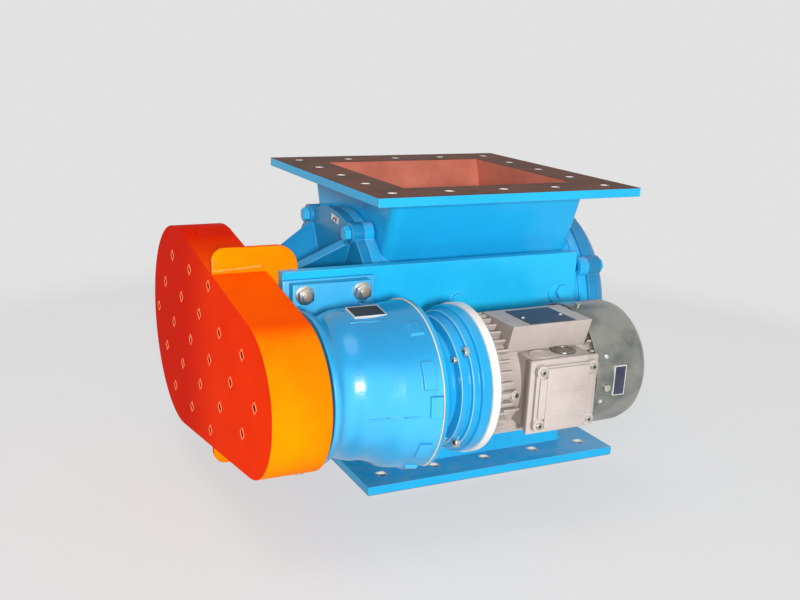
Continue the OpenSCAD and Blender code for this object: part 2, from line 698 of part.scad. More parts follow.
// upright plate seen from the drive side, heights counted from the drive shaft:
// a bar over the rim and a leg behind the drive plate
module strap_shape(rim, h) {
    r = 16;
    r_end = 28;
    top = rim + h;
    leg = foot_bolt_v / 2 - 16;
    lx = strap_x1 - guard_x1 - 4;
    difference() {
        union() {
            translate([strap_x0 + r, rim - 20]) square([strap_len - r - r_end, h + 20]);
            translate([strap_x0, rim - 20]) square([strap_len, h + 20 - r_end]);
            translate([strap_x0, rim - 20]) square([strap_len / 2, h + 20 - r]);
            translate([strap_x0 + r, top - r]) circle(r = r);
            translate([strap_x1 - r_end, top - r_end]) circle(r = r_end);
            translate([strap_x1 - lx, leg]) square([lx, rim - leg]);
        }
        translate([foot_x - foot_bolt_h / 2, foot_bolt_v / 2]) circle(d = foot_bolt_d + 2 * bolt_fit);
    }
}
// rim height above and below at the strap's outer face
rim_slope = asin((guard_r1 - guard_r2) / norm(guard_c2 - [0, rotor_z]));
guard_top = rotor_z + guard_r1 / cos(rim_slope) + strap_y * tan(rim_slope);
guard_low = 2 * rotor_z - guard_top;
module strap_solid(rim, h) translate([0, strap_y + strap_t, 0]) rotate([90, 0, 0])
    linear_extrude(strap_t) strap_shape(rim, h);
module guard_straps() color(orange) {
    difference() {
        translate([0, 0, drive_z]) strap_solid(guard_top - drive_z, strap_h);
        xslab(guard_x0 - 5, guard_x1) guard_outline(0);
    }
    difference() {
        translate([0, 0, drive_z]) mirror([0, 0, 1]) strap_solid(drive_z - guard_low, strap_low_h);
        xslab(guard_x0 - 5, guard_x1) guard_outline(0);
    }
}
// screws through the rim into the back plate's lip: centre, radius, angle
guard_screw_at = [[[0, rotor_z], guard_r1, 15], [[0, rotor_z], guard_r1, -70], [guard_c2, guard_r2, -102]];
guard_lip = 14;
module at_guard_screws() for (p = guard_screw_at)
    translate([guard_x1 - 1 - guard_t - guard_lip / 2, p[0][0], p[0][1]])
        rotate([p[2], 0, 0]) translate([0, p[1], 0]) rotate([90, 0, 0]) children();
module guard_screws() color(steel) at_guard_screws() {
    translate([0, 0, -4]) cylinder(d = 10, h = 4, $fn = 6);
    cylinder(d = 6, h = 9);
}

// ---- drive plate ------------------------------------------------------
module foot_bolt_at() for (i = [-1, 1], j = [-1, 1])
    translate([foot_x + i * foot_bolt_h / 2, 0, drive_z + j * foot_bolt_v / 2]) children();
module drive_plate() color(blue) difference() {
    block([plate_x0, plate_y0, plate_z0], [plate_end, plate_y1, plate_z1]);
    foot_bolt_at() translate([0, plate_y0 - 1, 0]) rotate([-90, 0, 0]) cylinder(d = foot_bolt_d + 2 * bolt_fit, h = plate_t + 2);
    plate_screw_at() translate([0, plate_y0 - 1, 0]) rotate([-90, 0, 0]) cylinder(d = screw_d + 2 * bolt_fit, h = plate_t + 2);
}
module drive_plate_screws() color(blue) plate_screw_at() translate([0, plate_y0, 0]) rotate([-90, 0, 0]) {
    translate([0, 0, -2.5]) cylinder(d = 2 * screw_d, h = 2.5);
    translate([0, 0, -2.5]) hex_screw(screw_d, plate_t + 24, 0.63 * screw_d);
}
// bolts run through foot, plate and, next to the guard, the strap behind the plate
module foot_bolt(grip) {
    d = foot_bolt_d;
    translate([0, 0, -2]) cylinder(d = 2 * d, h = 2);
    translate([0, 0, -2 - 0.8 * d]) cylinder(d = 1.75 * d, h = 0.8 * d, $fn = 6);
    translate([0, 0, -5 - 0.8 * d]) cylinder(d = d, h = grip + 5 + 0.8 * d);
    translate([0, 0, grip]) cylinder(d = 1.75 * d, h = 0.63 * d, $fn = 6);
}
module foot_bolts() color("silver") for (i = [-1, 1], j = [-1, 1])
    translate([foot_x + i * foot_bolt_h / 2, foot_y0, drive_z + j * foot_bolt_v / 2]) rotate([-90, 0, 0])
        foot_bolt(foot_t + plate_t + (i < 0 ? strap_t : 0));

// ---- gear unit --------------------------------------------------------
// height of the nameplate's flat above the case
case_flat = 1.7;
module gear_case() color(blue) {
    cr = case_r;
    x0 = case_x0;
    hub_end = brg_b + out_brg_w;
    difference() {
        union() {
            at_drive() turn([[out_r + 6, x0], [cr - 30, x0], [cr - 26, x0 + 3], [cr - 24, x0 + 9],
                [cr - 13, x0 + 11], [cr - 7, x0 + 14], [cr - 2, x0 + 21], [cr, x0 + 30],
                [cr + 1.5, case_x1 - 12], [rim_r - 2, case_x1 - 10], [rim_r, case_x1 - 7],
                [rim_r, case_x1], [cr - case_wall, case_x1], [cr - case_wall, x0 + 28],
                [cr - case_wall - 6, x0 + 23], [out_brg_r + 9, x0 + 23], [out_brg_r + 9, x0 + hub_end],
                [out_r + 6, x0 + hub_end]]);
            at_lay() xrod(lay_brg_r + 5, x0 + 20, x0 + lay_brg_a + lay_brg_w);
            // feet towards the drive plate
            difference() {
                foot_block();
                at_drive() xrod(cr - case_wall + 1, x0 + 2, case_x1 + 1);
            }
            // flat for the nameplate
            at_drive() rotate([8, 0, 0]) translate([x0 + 40, -26, cr - 5]) cube([54, 52, 5 + case_flat]);
            // bosses for the rear screws
            at_drive() ring_at(4, case_screw_r, 45) xrod(9, case_x1 - 34, case_x1 - adapter_spigot);
        }
        // seats of the seal and the output bearings, with a shoulder between them
        at_drive() xrod(out_brg_r + seat_fit, x0 - 1, x0 + brg_a + out_brg_w);
        at_drive() xrod(out_r + 10, x0, x0 + hub_end);
        at_drive() xrod(out_brg_r + seat_fit, x0 + brg_b, x0 + hub_end + 1);
        at_lay() xrod(lay_brg_r + seat_fit, x0 + lay_brg_a, x0 + lay_brg_a + lay_brg_w + 1);
        at_drive() ring_at(4, case_screw_r, 45)
            xrod(adapter_screw_d / 2 + bolt_fit, case_x1 - 22, case_x1 + 1);
        foot_bolt_at() translate([0, foot_y0 - 1, 0]) rotate([-90, 0, 0])
            cylinder(d = foot_bolt_d + 2 * bolt_fit, h = foot_t + 2);
        // shallow pockets behind the rim
        at_drive() ring_at(8, cr - 3, 22.5) translate([case_x1 - 32, 0, -9]) cube([18, 12, 18]);
    }
}
module foot_block() {
    x0 = foot_x - foot_len / 2;
    x1 = foot_x + foot_len / 2;
    h = foot_h / 2;
    translate([0, plate_y0, drive_z]) rotate([90, 0, 0]) linear_extrude(foot_t) polygon([
        [x0, -h], [x1, -h], [x1, -h + 22], [x1 - 11, -h + 30], [x1 - 11, h - 30], [x1, h - 22], [x1, h], [x0, h]]);
    // webs that join the feet to the round case
    for (s = [-1, 1]) translate([0, 0, drive_z + s * (foot_bolt_v / 2 - foot_bolt_d - 9)])
        for (x = [x0 + 4, x1 - 26])
        translate([x, drive_y + 20, -6]) cube([10, plate_y0 - 2 - drive_y - 20, 12]);
}
module gear_nameplate() color("#181818") at_drive() rotate([8, 0, 0])
    translate([case_x0 + 46, -19, case_r + case_flat]) cube([42, 38, 1]);
// the adapter's motor flange and its screws
adapter_ring_t = 16;
adapter_spigot = 6;
adapter_screw_d = 8;
adapter_screw_r = adapter_r - 10;
case_screw_r = case_r - 10;
module motor_adapter() color(blue) {
    a = case_x1;
    e = adapter_x1;
    f = e - adapter_ring_t;
    hole = adapter_screw_d / 2 + bolt_fit;
    difference() {
        union() {
            at_drive() turn([[motor_r + 4, a - adapter_spigot],
                [case_r - case_wall - seat_fit, a - adapter_spigot],
                [case_r - case_wall - seat_fit, a], [case_r - 1, a], [case_r - 1, a + 7],
                [case_r - 12, a + 9], [75, a + 17], [71, a + 24], [71, a + 31], [76, a + 32],
                [76, a + 35], [adapter_screw_r - 8, a + 36], [adapter_screw_r - 8, f], [adapter_r - 1, f],
                [adapter_r, f + 1], [adapter_r, e - 1], [adapter_r - 1, e], [62, e], [62, e - 8],
                [44, e - 8], [40, a + 12], [motor_r + 4, a + 12]]);
            at_lay() xrod(lay_brg_r + 5, case_x0 + lay_brg_b - 1, a + 2);
        }
        at_lay() xrod(lay_brg_r + seat_fit, case_x0 + lay_brg_b - 2, case_x0 + lay_brg_b + lay_brg_w);
        at_drive() ring_at(4, adapter_screw_r, 45) xrod(hole, f - 1, e + 1);
        at_drive() ring_at(4, case_screw_r, 45) xrod(hole, a - 8, a + 12);
        at_drive() ring_at(4, case_screw_r, 45) xrod(hole + 4.5, a + 7, a + 30);
    }
}
module adapter_screws() color("silver") at_drive() {
    d = adapter_screw_d;
    ring_at(4, adapter_screw_r, 45) translate([adapter_x1 - adapter_ring_t, 0, 0])
        rotate([0, 90, 0]) hex_screw(d, adapter_ring_t + shield_flange_t - 1, 0.66 * d);
    ring_at(4, case_screw_r, 45) translate([case_x1 + 7, 0, 0]) rotate([0, -90, 0]) hex_screw(d, 24, 0.66 * d);
}
// bearing drawn as one ring with a running gap to its shaft
module ring_bearing(ro, ri, x, w) xring(ro, ri + run_fit, x, x + w);
module gear_bearings() color(steel) {
    at_drive() for (p = [brg_a, brg_b + 0.2]) ring_bearing(out_brg_r, out_r, case_x0 + p, out_brg_w - 0.4);
    at_drive() ring_bearing(out_brg_r, out_r, case_x0 + 0.4, seal_w);
    at_lay() ring_bearing(lay_brg_r, lay_r, case_x0 + lay_brg_a + 0.2, lay_brg_w - 0.4);
    at_lay() ring_bearing(lay_brg_r, lay_r, case_x0 + lay_brg_b + 0.2, lay_brg_w - 0.4);
}
// involute gear tooth flank helpers
function inv_deg(a) = tan(a) * 180 / PI - a;
function flank(n, m, r) =
    let (rp = n * m / 2, rb = rp * cos(pressure), a = r <= rb ? 0 : acos(rb / r))
    90 / n - backlash / 2 / rp * 180 / PI + inv_deg(pressure) - inv_deg(a);
function pol(r, a) = [r * cos(a), r * sin(a)];
module gear_outline(n, m, a0) {
    rp = n * m / 2;
    ro = rp + 0.95 * m;
    rr = rp - 1.25 * m;
    rb = max(rr + 0.05, rp * cos(pressure));
    rs = [rb, (rb + rp) / 2, rp, (rp + ro) / 2, ro];
    polygon([for (i = [0:n - 1]) each concat(
        [pol(rr, a0 + i * 360 / n - flank(n, m, rb) - 0.3)],
        [for (r = rs) pol(r, a0 + i * 360 / n - flank(n, m, r))],
        [for (j = [4:-1:0]) pol(rs[j], a0 + i * 360 / n + flank(n, m, rs[j]))],
        [pol(rr, a0 + i * 360 / n + flank(n, m, rb) + 0.3)])]);
}
module output_shaft() color(steel) at_drive() xrod(out_r, sprocket_x - 14, case_x0 + wheel2_x + face2 + 3);
module output_wheel() color(steel) at_drive() xslab(case_x0 + wheel2_x, case_x0 + wheel2_x + face2) difference() {
    gear_outline(wheel2, mod2, -90);
    circle(r = out_r + run_fit);
}
module layshaft() color(steel) at_lay() {
    xrod(lay_r, case_x0 + lay_brg_a + 0.4, case_x0 + lay_brg_b + lay_brg_w - 0.4);
    xslab(case_x0 + wheel2_x - 1, case_x0 + wheel2_x + face2 + 1) gear_outline(pinion2, mod2, 90 + 180 / pinion2);
}
module layshaft_wheel() color(steel) at_lay() xslab(case_x0 + wheel1_x, case_x0 + wheel1_x + face1) difference() {
    gear_outline(wheel1, mod1, 90 + 180 / wheel1);
    circle(r = lay_r + run_fit);
}

// ---- motor ------------------------------------------------------------
module motor_flange() color(silver) at_drive() difference() {
    turn([[motor_brg_r - 4, adapter_x1], [motor_flange_r, adapter_x1],
        [motor_flange_r, adapter_x1 + shield_flange_t - 1], [motor_flange_r - 1, adapter_x1 + shield_flange_t],
        [frame_r + 6, adapter_x1 + shield_flange_t + 1], [frame_r + 3, frame_x0], [motor_brg_r + 7, frame_x0],
        [motor_brg_r + 5, frame_x0 + 4], [motor_brg_r + seat_fit, frame_x0 + 4],
        [motor_brg_r + seat_fit, frame_x0 + 4 - motor_brg_w], [motor_brg_r - 4, frame_x0 + 4 - motor_brg_w]]);
    ring_at(4, adapter_screw_r, 45)
        xrod(adapter_screw_d / 2 + bolt_fit, adapter_x1 - 1, adapter_x1 + shield_flange_t + 2);
}
pad_x0 = frame_x0 + 20;
pad_x1 = frame_x1 - 8;
// angles between which the fins make way for the terminal box and its panel
bare_a0 = 92;
bare_a1 = 180 + asin((box_h / 2 + 4) / frame_r);
module fin_star(whole) {
    circle(r = frame_r);
    for (i = [0:fin_count - 1]) {
        a = i * 360 / fin_count;
        if (whole || a < bare_a0 || a > bare_a1)
            rotate(a) translate([frame_r - 2, -fin_t / 2]) square([fin_r - frame_r + 2, fin_t]);
    }
}
module stator_frame() color(silver) difference() {
    union() {
        at_drive() xslab(frame_x0, pad_x0) fin_star(true);
        at_drive() xslab(pad_x0, pad_x1) fin_star(false);
        at_drive() xslab(pad_x1, frame_x1) fin_star(true);
        at_drive() xrod(frame_r + 3, frame_x0, frame_x0 + 10);
        // panel above the terminal box with the flat for the nameplate on top
        xslab(pad_x0 + 0.5, pad_x1 - 0.5) polygon([[drive_y - 20, drive_z + 20],
            [drive_y - frame_r + 13, box_z1 + 3], [drive_y - frame_r + 2, ped_top],
            [drive_y + 6, ped_top], [drive_y + 6, drive_z + 20]]);
    }
    at_drive() xrod(core_r + seat_fit, frame_x0 - 1, frame_x1 + 1);
}
module stator_core() color("#6d6d70") at_drive() xring(core_r, rotor_core_r + 0.5, core_x, core_x + core_len);
module stator_windings() color("#b8652a") at_drive() for (x = [core_x - 18.2, core_x + core_len + 0.2])
    xring(core_r - 4, rotor_core_r + 3, x, x + 18);
module motor_bearings() color(steel) at_drive() {
    ring_bearing(motor_brg_r, motor_r, frame_x0 + 4.2 - motor_brg_w, motor_brg_w - 0.4);
    ring_bearing(motor_brg_r, motor_r, frame_x1 - 2, motor_brg_w - 0.4);
}
module at_cowl_screws() at_drive() ring_at(4, cowl_r, 5) translate([frame_x1 + 12, 0, 0]) rotate([-90, 0, 0]) children();
module rear_shield() color(silver) {
    cr = cowl_r - cowl_wall - seat_fit;
    difference() {
        at_drive() turn([
            [motor_brg_r + seat_fit, frame_x1 - 2.2], [motor_brg_r + 5, frame_x1 - 2.2],
            [motor_brg_r + 7, frame_x1], [fin_r, frame_x1], [cr, frame_x1 + 1], [cr, frame_x1 + 18],
            [cr - 7, frame_x1 + 18], [cr - 8, frame_x1 + 10], [motor_brg_r + 9, frame_x1 + 9],
            [motor_brg_r + 5, frame_x1 + rear_shield_t + 2], [motor_r + 2, frame_x1 + rear_shield_t + 2],
            [motor_r + 2, frame_x1 + rear_shield_t], [motor_brg_r + seat_fit, frame_x1 + rear_shield_t]]);
        at_cowl_screws() translate([0, 0, -8]) cylinder(r = 2 + bolt_fit / 2, h = 12);
    }
}
plug_at = [-11, 23];
plug_r = 13;
plug_y = drive_y - frame_r - 4.5;
box_wall = 5;
// box that saddles the round frame, open towards the lid
module terminal_box() color(silver) difference() {
    block([box_x - box_w / 2, lid_y + lid_t, box_z0], [box_x + box_w / 2, drive_y - 40, box_z1]);
    at_drive() xrod(frame_r + seat_fit, frame_x0, frame_x1);
    difference() {
        block([box_x - box_w / 2 + box_wall, lid_y, box_z0 + box_wall],
            [box_x + box_w / 2 - box_wall, drive_y, box_z1 - box_wall]);
        at_drive() xrod(frame_r + seat_fit + 4, frame_x0, frame_x1);
    }
    for (x = plug_at) translate([box_x + x, plug_y, box_z1 - box_wall - 1]) cylinder(r = plug_r, h = 10);
}
module terminal_lid() color(silver) {
    block([box_x - box_w / 2 + 3, lid_y, box_z0 + 3], [box_x + box_w / 2 - 3, lid_y + lid_t, box_z1 - 3]);
    for (i = [0:3]) block([box_x - box_w / 2 + 12, lid_y - 1, box_z - 26 + i * 5],
        [box_x + box_w / 2 - 12, lid_y, box_z - 24 + i * 5]);
}
module lid_screws() color("silver") for (i = [-1, 1], j = [-1, 1])
    translate([box_x + i * (box_w / 2 - 9), lid_y, box_z + j * (box_h / 2 - 9)]) rotate([90, 0, 0])
        cylinder(r = 4, h = 3);
module blanking_plugs() color("#4a4a48") for (x = plug_at)
    translate([box_x + x, plug_y, box_z1 - 4]) {
        cylinder(r = plug_r - seat_fit, h = 4);
        translate([0, 0, 4]) cylinder(r = plug_r + 2.5, h = x > 0 ? 3 : 1);
    }
module motor_nameplate() color("#20242c") translate([box_x - 32, drive_y - frame_r + 5, ped_top]) cube([63, 58, 1]);
module fan_cowl() color("#7b7f79") difference() {
    at_drive() cowl_shell();
    at_cowl_screws() translate([0, 0, -4]) cylinder(r = 2 + bolt_fit / 2, h = 6);
}
module cowl_shell() {
    r = cowl_r;
    w = cowl_wall;
    turn([[r - w, cowl_x0], [r, cowl_x0], [r, cowl_x1 - 22], [r - 3, cowl_x1 - 12], [r - 9, cowl_x1 - 5],
        [r - 17, cowl_x1 - 1], [r - 22, cowl_x1], [r - 26, cowl_x1], [r - 26, cowl_x1 - w], [r - 22, cowl_x1 - w],
        [r - 18, cowl_x1 - w - 1.2], [r - w - 8.5, cowl_x1 - 7], [r - w - 3, cowl_x1 - 13.5], [r - w, cowl_x1 - 23]]);
    xslab(cowl_x1 - w, cowl_x1) difference() {
        circle(r = r - 24);
        for (k = [0:3]) for (i = [0:5]) rotate(i * 60 + 30) difference() {
            intersection() {
                circle(r = 20 + k * 9 + 3);
                polygon([[0, 0], pol(90, -25), pol(90, 25)]);
            }
            circle(r = 20 + k * 9 - 2);
        }
    }
}
module cowl_screws() color("silver") at_cowl_screws() {
    cylinder(r = 4.5, h = 3);
    translate([0, 0, -6]) cylinder(r = 2, h = 7);
}
module cowl_plate() color("#20242c") at_drive() intersection() {
    xring(cowl_r + seat_fit / 2 + 1, cowl_r + seat_fit / 2, cowl_x0 + 21, cowl_x0 + 42);
    block([cowl_x0, -cowl_r - 5, -20], [cowl_x1, 0, 22]);
}
module motor_shaft() color(steel) at_drive() {
    xrod(motor_r, case_x0 + wheel1_x + face1 + 1, cowl_x1 - 30);
    xslab(case_x0 + wheel1_x - 1, case_x0 + wheel1_x + face1 + 2) gear_outline(pinion1, mod1, -90);
}
module rotor_core() color("#6d6d70") at_drive() xring(rotor_core_r, motor_r + run_fit, core_x - 3, core_x + core_len + 3);
module cooling_fan() color("#2b2b2b") at_drive() {
    x = frame_x1 + rear_shield_t + 8;
    xring(16, motor_r + run_fit, x, x + 26);
    xring(cowl_r - cowl_wall - 8, 12, x, x + 2);
    xslab(x, x + 24) for (i = [0:7]) rotate(i * 45) translate([14, -1.2]) square([cowl_r - cowl_wall - 22, 2.4]);
}
module rotation_plate() color("white") at_rotor() rotate([8, 0, 0])
    translate([-half_len - cover_t - 1, -13, end_r - 15]) cube([1, 26, 9]);

valve_housing();
drive_end_cover();
outboard_cover();
cover_screws();
bearing_outer_rings();
bearing_balls();
bearing_caps();
cap_screws();
shaft_seals();
rotor_shaft();
rotor_vanes();
bearing_inner_rings();
driven_sprocket();
driven_key();
drive_plate();
drive_plate_screws();
gear_case();
foot_bolts();
gear_nameplate();
motor_adapter();
adapter_screws();
gear_bearings();
output_shaft();
output_wheel();
drive_sprocket();
layshaft();
layshaft_wheel();
motor_flange();
stator_frame();
stator_core();
stator_windings();
motor_bearings();
rear_shield();
terminal_box();
terminal_lid();
lid_screws();
blanking_plugs();
motor_nameplate();
fan_cowl();
cowl_screws();
motor_shaft();
rotor_core();
cooling_fan();
roller_chain();
guard_cover();
guard_back();
guard_straps();
guard_screws();
rotation_plate();
cowl_plate();
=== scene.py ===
# %% [markdown]
# # Dressing a rotary airlock valve
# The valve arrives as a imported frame: fifty rigid nodes, each already at its real size and place.
# Blender adds what a mechanical model can't hold, the paint, the cast skin, the plates, the weld
# beads and the light. Nothing here moves a node, so every new piece takes its place from the frame.

# %% Load the frame
import math
import random

import bmesh
import bpy
from mathutils import Matrix, Vector


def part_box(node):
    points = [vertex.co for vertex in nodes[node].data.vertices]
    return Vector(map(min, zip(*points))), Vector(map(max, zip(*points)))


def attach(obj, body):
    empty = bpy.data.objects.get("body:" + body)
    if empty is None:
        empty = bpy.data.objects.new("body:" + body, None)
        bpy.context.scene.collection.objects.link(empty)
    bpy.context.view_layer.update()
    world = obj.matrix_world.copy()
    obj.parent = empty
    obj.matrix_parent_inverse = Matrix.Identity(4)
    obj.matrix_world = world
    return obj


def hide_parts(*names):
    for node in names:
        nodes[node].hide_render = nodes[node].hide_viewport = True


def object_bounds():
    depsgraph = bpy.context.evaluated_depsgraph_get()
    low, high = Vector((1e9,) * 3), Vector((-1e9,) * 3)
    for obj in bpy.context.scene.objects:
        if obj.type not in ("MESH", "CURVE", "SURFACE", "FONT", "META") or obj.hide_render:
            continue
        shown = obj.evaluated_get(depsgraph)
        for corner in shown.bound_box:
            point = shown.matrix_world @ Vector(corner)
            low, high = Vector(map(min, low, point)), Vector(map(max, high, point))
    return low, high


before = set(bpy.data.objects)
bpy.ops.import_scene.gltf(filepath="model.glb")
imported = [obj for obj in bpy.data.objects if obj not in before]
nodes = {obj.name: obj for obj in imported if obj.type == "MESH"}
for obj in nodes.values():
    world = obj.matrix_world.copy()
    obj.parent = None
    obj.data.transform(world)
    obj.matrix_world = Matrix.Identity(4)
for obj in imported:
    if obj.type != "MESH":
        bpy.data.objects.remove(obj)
cad_low, cad_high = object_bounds()
scene = bpy.context.scene
print("nodes", len(nodes), "size", [round(v, 3) for v in cad_high - cad_low])

# %% [markdown]
# ## Stations
# A few boxes of the frame say where everything is: the rotor axis runs along X through the middle of
# the valve body, and the gear unit and motor share a second axis beside it.

# %% Stations taken from the frame
def middle(node):
    low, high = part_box(node)
    return (low + high) / 2


body_low, body_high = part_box("valve_housing")
rotor_axis = Vector((0, 0, (body_low.z + body_high.z) / 2))
drive_axis = middle("output_shaft")
print("rotor axis", [round(v, 4) for v in rotor_axis], "drive axis", [round(v, 4) for v in drive_axis])

# %% [markdown]
# ## Camera
# The camera stands to the left of the drive side and a little above it, rolled by two degrees. A normal
# lens from 1.6 m away gives the flanges a mild perspective, as on a product view.

# %% Camera
def make_camera(place, azimuth, elevation, roll, lens, shift):
    data = bpy.data.cameras.new("camera")
    camera = bpy.data.objects.new("camera", data)
    scene.collection.objects.link(camera)
    a, e, r = (math.radians(v) for v in (azimuth, elevation, roll))
    back = Vector((math.sin(a) * math.cos(e), -math.cos(a) * math.cos(e), math.sin(e)))
    level = (-back).cross(Vector((0, 0, 1))).normalized()
    above = level.cross(-back)
    right = level * math.cos(r) + above * math.sin(r)
    up = above * math.cos(r) - level * math.sin(r)
    turn = Matrix((right, up, back)).transposed()
    camera.matrix_world = Matrix.Translation(place) @ turn.to_4x4()
    data.sensor_width = 36
    data.lens = lens
    data.shift_x, data.shift_y = shift
    data.clip_start = 0.05
    data.clip_end = 50
    scene.camera = camera
    return camera


camera = make_camera(
    place=Vector((-0.7215, -1.2951, 0.5947)),
    azimuth=-25.353,
    elevation=17.432,
    roll=2.053,
    lens=44.858,
    shift=(0.035, 0.0548),
)
print("camera at", [round(v, 3) for v in camera.location])

# %% [markdown]
# ## Shader groups
# Paint, castings and sheet all share a few effects: a soft unevenness of tone, dust that settles on
# faces that look up, and a fine bump. Each effect is one node group with named inputs, placed in
# every material with its own values. Groups only put out colours, masks, values and normals.

# %% Helpers for node groups
def group(name, inputs, outputs):
    tree = bpy.data.node_groups.new(name, "ShaderNodeTree")
    for label, kind, value in inputs:
        tree.interface.new_socket(label, in_out="INPUT", socket_type=kind).default_value = value
    for label, kind in outputs:
        tree.interface.new_socket(label, in_out="OUTPUT", socket_type=kind)
    tree.nodes.new("NodeGroupInput")
    tree.nodes.new("NodeGroupOutput")
    return tree


def ends(tree):
    return tree.nodes["Group Input"].outputs, tree.nodes["Group Output"].inputs


def fill(node, values):
    for label, value in values.items():
        node.inputs[label.replace("_", " ")].default_value = value
    return node


def add(tree, kind, **values):
    return fill(tree.nodes.new(kind), values)


def feed(tree, value, socket):
    """Link a socket's value in, or set a plain one; None leaves the socket as it is."""
    if isinstance(value, bpy.types.NodeSocket):
        tree.links.new(value, socket)
    elif value is not None:
        socket.default_value = value


def math_node(tree, operation, a, b=None):
    node = tree.nodes.new("ShaderNodeMath")
    node.operation = operation
    for socket, value in zip(node.inputs, (a, b)):
        feed(tree, value, socket)
    return node.outputs[0]


def mix_colour(tree, factor, a, b):
    """A Mix node has its colour sockets after those for floats and vectors, so they go by number."""
    node = tree.nodes.new("ShaderNodeMix")
    node.data_type = "RGBA"
    for number, value in ((0, factor), (6, a), (7, b)):
        feed(tree, value, node.inputs[number])
    return node.outputs[2]


def noise(tree, where, scale, detail, rough=0.5):
    node = tree.nodes.new("ShaderNodeTexNoise")
    for label, value in (("Vector", where), ("Scale", scale), ("Detail", detail), ("Roughness", rough)):
        feed(tree, value, node.inputs[label])
    return node.outputs["Fac"]


def ramp(tree, value, low, high):
    node = tree.nodes.new("ShaderNodeMapRange")
    node.interpolation_type = "SMOOTHSTEP"
    fill(node, {"From Min": low, "From Max": high})
    tree.links.new(value, node.inputs["Value"])
    return node.outputs["Result"]


def coords(tree, kind="Object"):
    return tree.nodes.new("ShaderNodeTexCoord").outputs[kind]


def surface_normal(tree):
    return tree.nodes.new("ShaderNodeNewGeometry").outputs["Normal"]


def split_axes(tree, vector):
    node = tree.nodes.new("ShaderNodeSeparateXYZ")
    tree.links.new(vector, node.inputs[0])
    return node.outputs


print("shader helpers ready")

# %% Group: uneven tone
# Broad clouds move a colour part of the way to a darker one.
tone = group(
    "uneven tone",
    [("Colour", "NodeSocketColor", (0.5, 0.5, 0.5, 1)), ("Dark", "NodeSocketColor", (0.3, 0.3, 0.3, 1)),
     ("Amount", "NodeSocketFloat", 0.5), ("Scale", "NodeSocketFloat", 8.0)],
    [("Colour", "NodeSocketColor")],
)


def build_tone(tree):
    given, put = ends(tree)
    cloud = ramp(tree, noise(tree, coords(tree), given["Scale"], 4.0, 0.6), 0.35, 0.7)
    share = math_node(tree, "MULTIPLY", cloud, given["Amount"])
    tree.links.new(mix_colour(tree, share, given["Colour"], given["Dark"]), put["Colour"])


build_tone(tone)
print("group", tone.name)

# %% Group: skin bump
# A normal from two sizes of noise, orange peel of paint or the skin of a sand casting, laid over edges
# that a bevel normal has rounded. The mask tells where those rounded edges are.
skin = group(
    "skin bump",
    [("Edge radius", "NodeSocketFloat", 0.001), ("Coarse", "NodeSocketFloat", 90.0),
     ("Fine", "NodeSocketFloat", 700.0), ("Height", "NodeSocketFloat", 0.0004),
     ("Share of fine", "NodeSocketFloat", 0.3)],
    [("Normal", "NodeSocketVector"), ("Edge", "NodeSocketFloat")],
)


def build_skin(tree):
    given, put = ends(tree)
    place = coords(tree)
    coarse, fine = (noise(tree, place, given[label], 2.0) for label in ("Coarse", "Fine"))
    height = math_node(tree, "ADD", coarse, math_node(tree, "MULTIPLY", fine, given["Share of fine"]))
    rounded = tree.nodes.new("ShaderNodeBevel")
    rounded.samples = 6
    tree.links.new(given["Edge radius"], rounded.inputs["Radius"])
    bump = add(tree, "ShaderNodeBump", Strength=1.0)
    tree.links.new(height, bump.inputs["Height"])
    tree.links.new(given["Height"], bump.inputs["Distance"])
    tree.links.new(rounded.outputs["Normal"], bump.inputs["Normal"])
    tree.links.new(bump.outputs["Normal"], put["Normal"])
    turned = tree.nodes.new("ShaderNodeVectorMath")
    turned.operation = "DOT_PRODUCT"
    tree.links.new(rounded.outputs["Normal"], turned.inputs[0])
    tree.links.new(surface_normal(tree), turned.inputs[1])
    leaning = math_node(tree, "SUBTRACT", 1.0, turned.outputs["Value"])
    tree.links.new(ramp(tree, leaning, 0.03, 0.25), put["Edge"])


build_skin(skin)
print("group", skin.name)

# %% Group: settled dust
# Faces that look up gather a pale film, broken by noise.
dust = group(
    "settled dust",
    [("Colour", "NodeSocketColor", (0.5, 0.5, 0.5, 1)), ("Dust", "NodeSocketColor", (0.36, 0.42, 0.52, 1)),
     ("Amount", "NodeSocketFloat", 0.3)],
    [("Colour", "NodeSocketColor")],
)


def build_dust(tree):
    given, put = ends(tree)
    up = ramp(tree, split_axes(tree, surface_normal(tree))["Z"], 0.35, 0.98)
    patch = ramp(tree, noise(tree, coords(tree), 35.0, 5.0, 0.65), 0.3, 0.75)
    share = math_node(tree, "MULTIPLY", math_node(tree, "MULTIPLY", up, patch), given["Amount"])
    tree.links.new(mix_colour(tree, share, given["Colour"], given["Dust"]), put["Colour"])


build_dust(dust)
print("group", dust.name)

# %% [markdown]
# ## Materials
# Every material keeps its own Principled shader. The paint is a gloss enamel brushed over castings,
# so it gets a clear coat on a slightly rough base. Bare metals take their look from roughness.

# %% A new material with its groups
coat_roughness = 0.14
# how far the paler colour of an edge covers the paint: partly rubbed paint, partly a painted highlight along
# the edges
edge_wear_and_highlight = 0.45


def new_material(name, roughness, metallic=0.0, coat=0.0, specular=0.5):
    material = bpy.data.materials.new(name)
    material.use_nodes = True
    tree = material.node_tree
    shader = tree.nodes["Principled BSDF"]
    fill(shader, {"Roughness": roughness, "Metallic": metallic, "Specular IOR Level": specular,
                  "Coat Weight": coat, "Coat Roughness": coat_roughness})
    return material, tree, shader


def use(tree, shared, **values):
    node = tree.nodes.new("ShaderNodeGroup")
    node.node_tree = shared
    return fill(node, values)


def peel(tree, shader, radius, bump, coarse, fine):
    """Lay a skin over a shader; the mask of its rounded edges is returned."""
    surface = use(tree, skin, Edge_radius=radius, Coarse=coarse, Fine=fine, Height=bump)
    tree.links.new(surface.outputs["Normal"], shader.inputs["Normal"])
    return surface.outputs["Edge"]


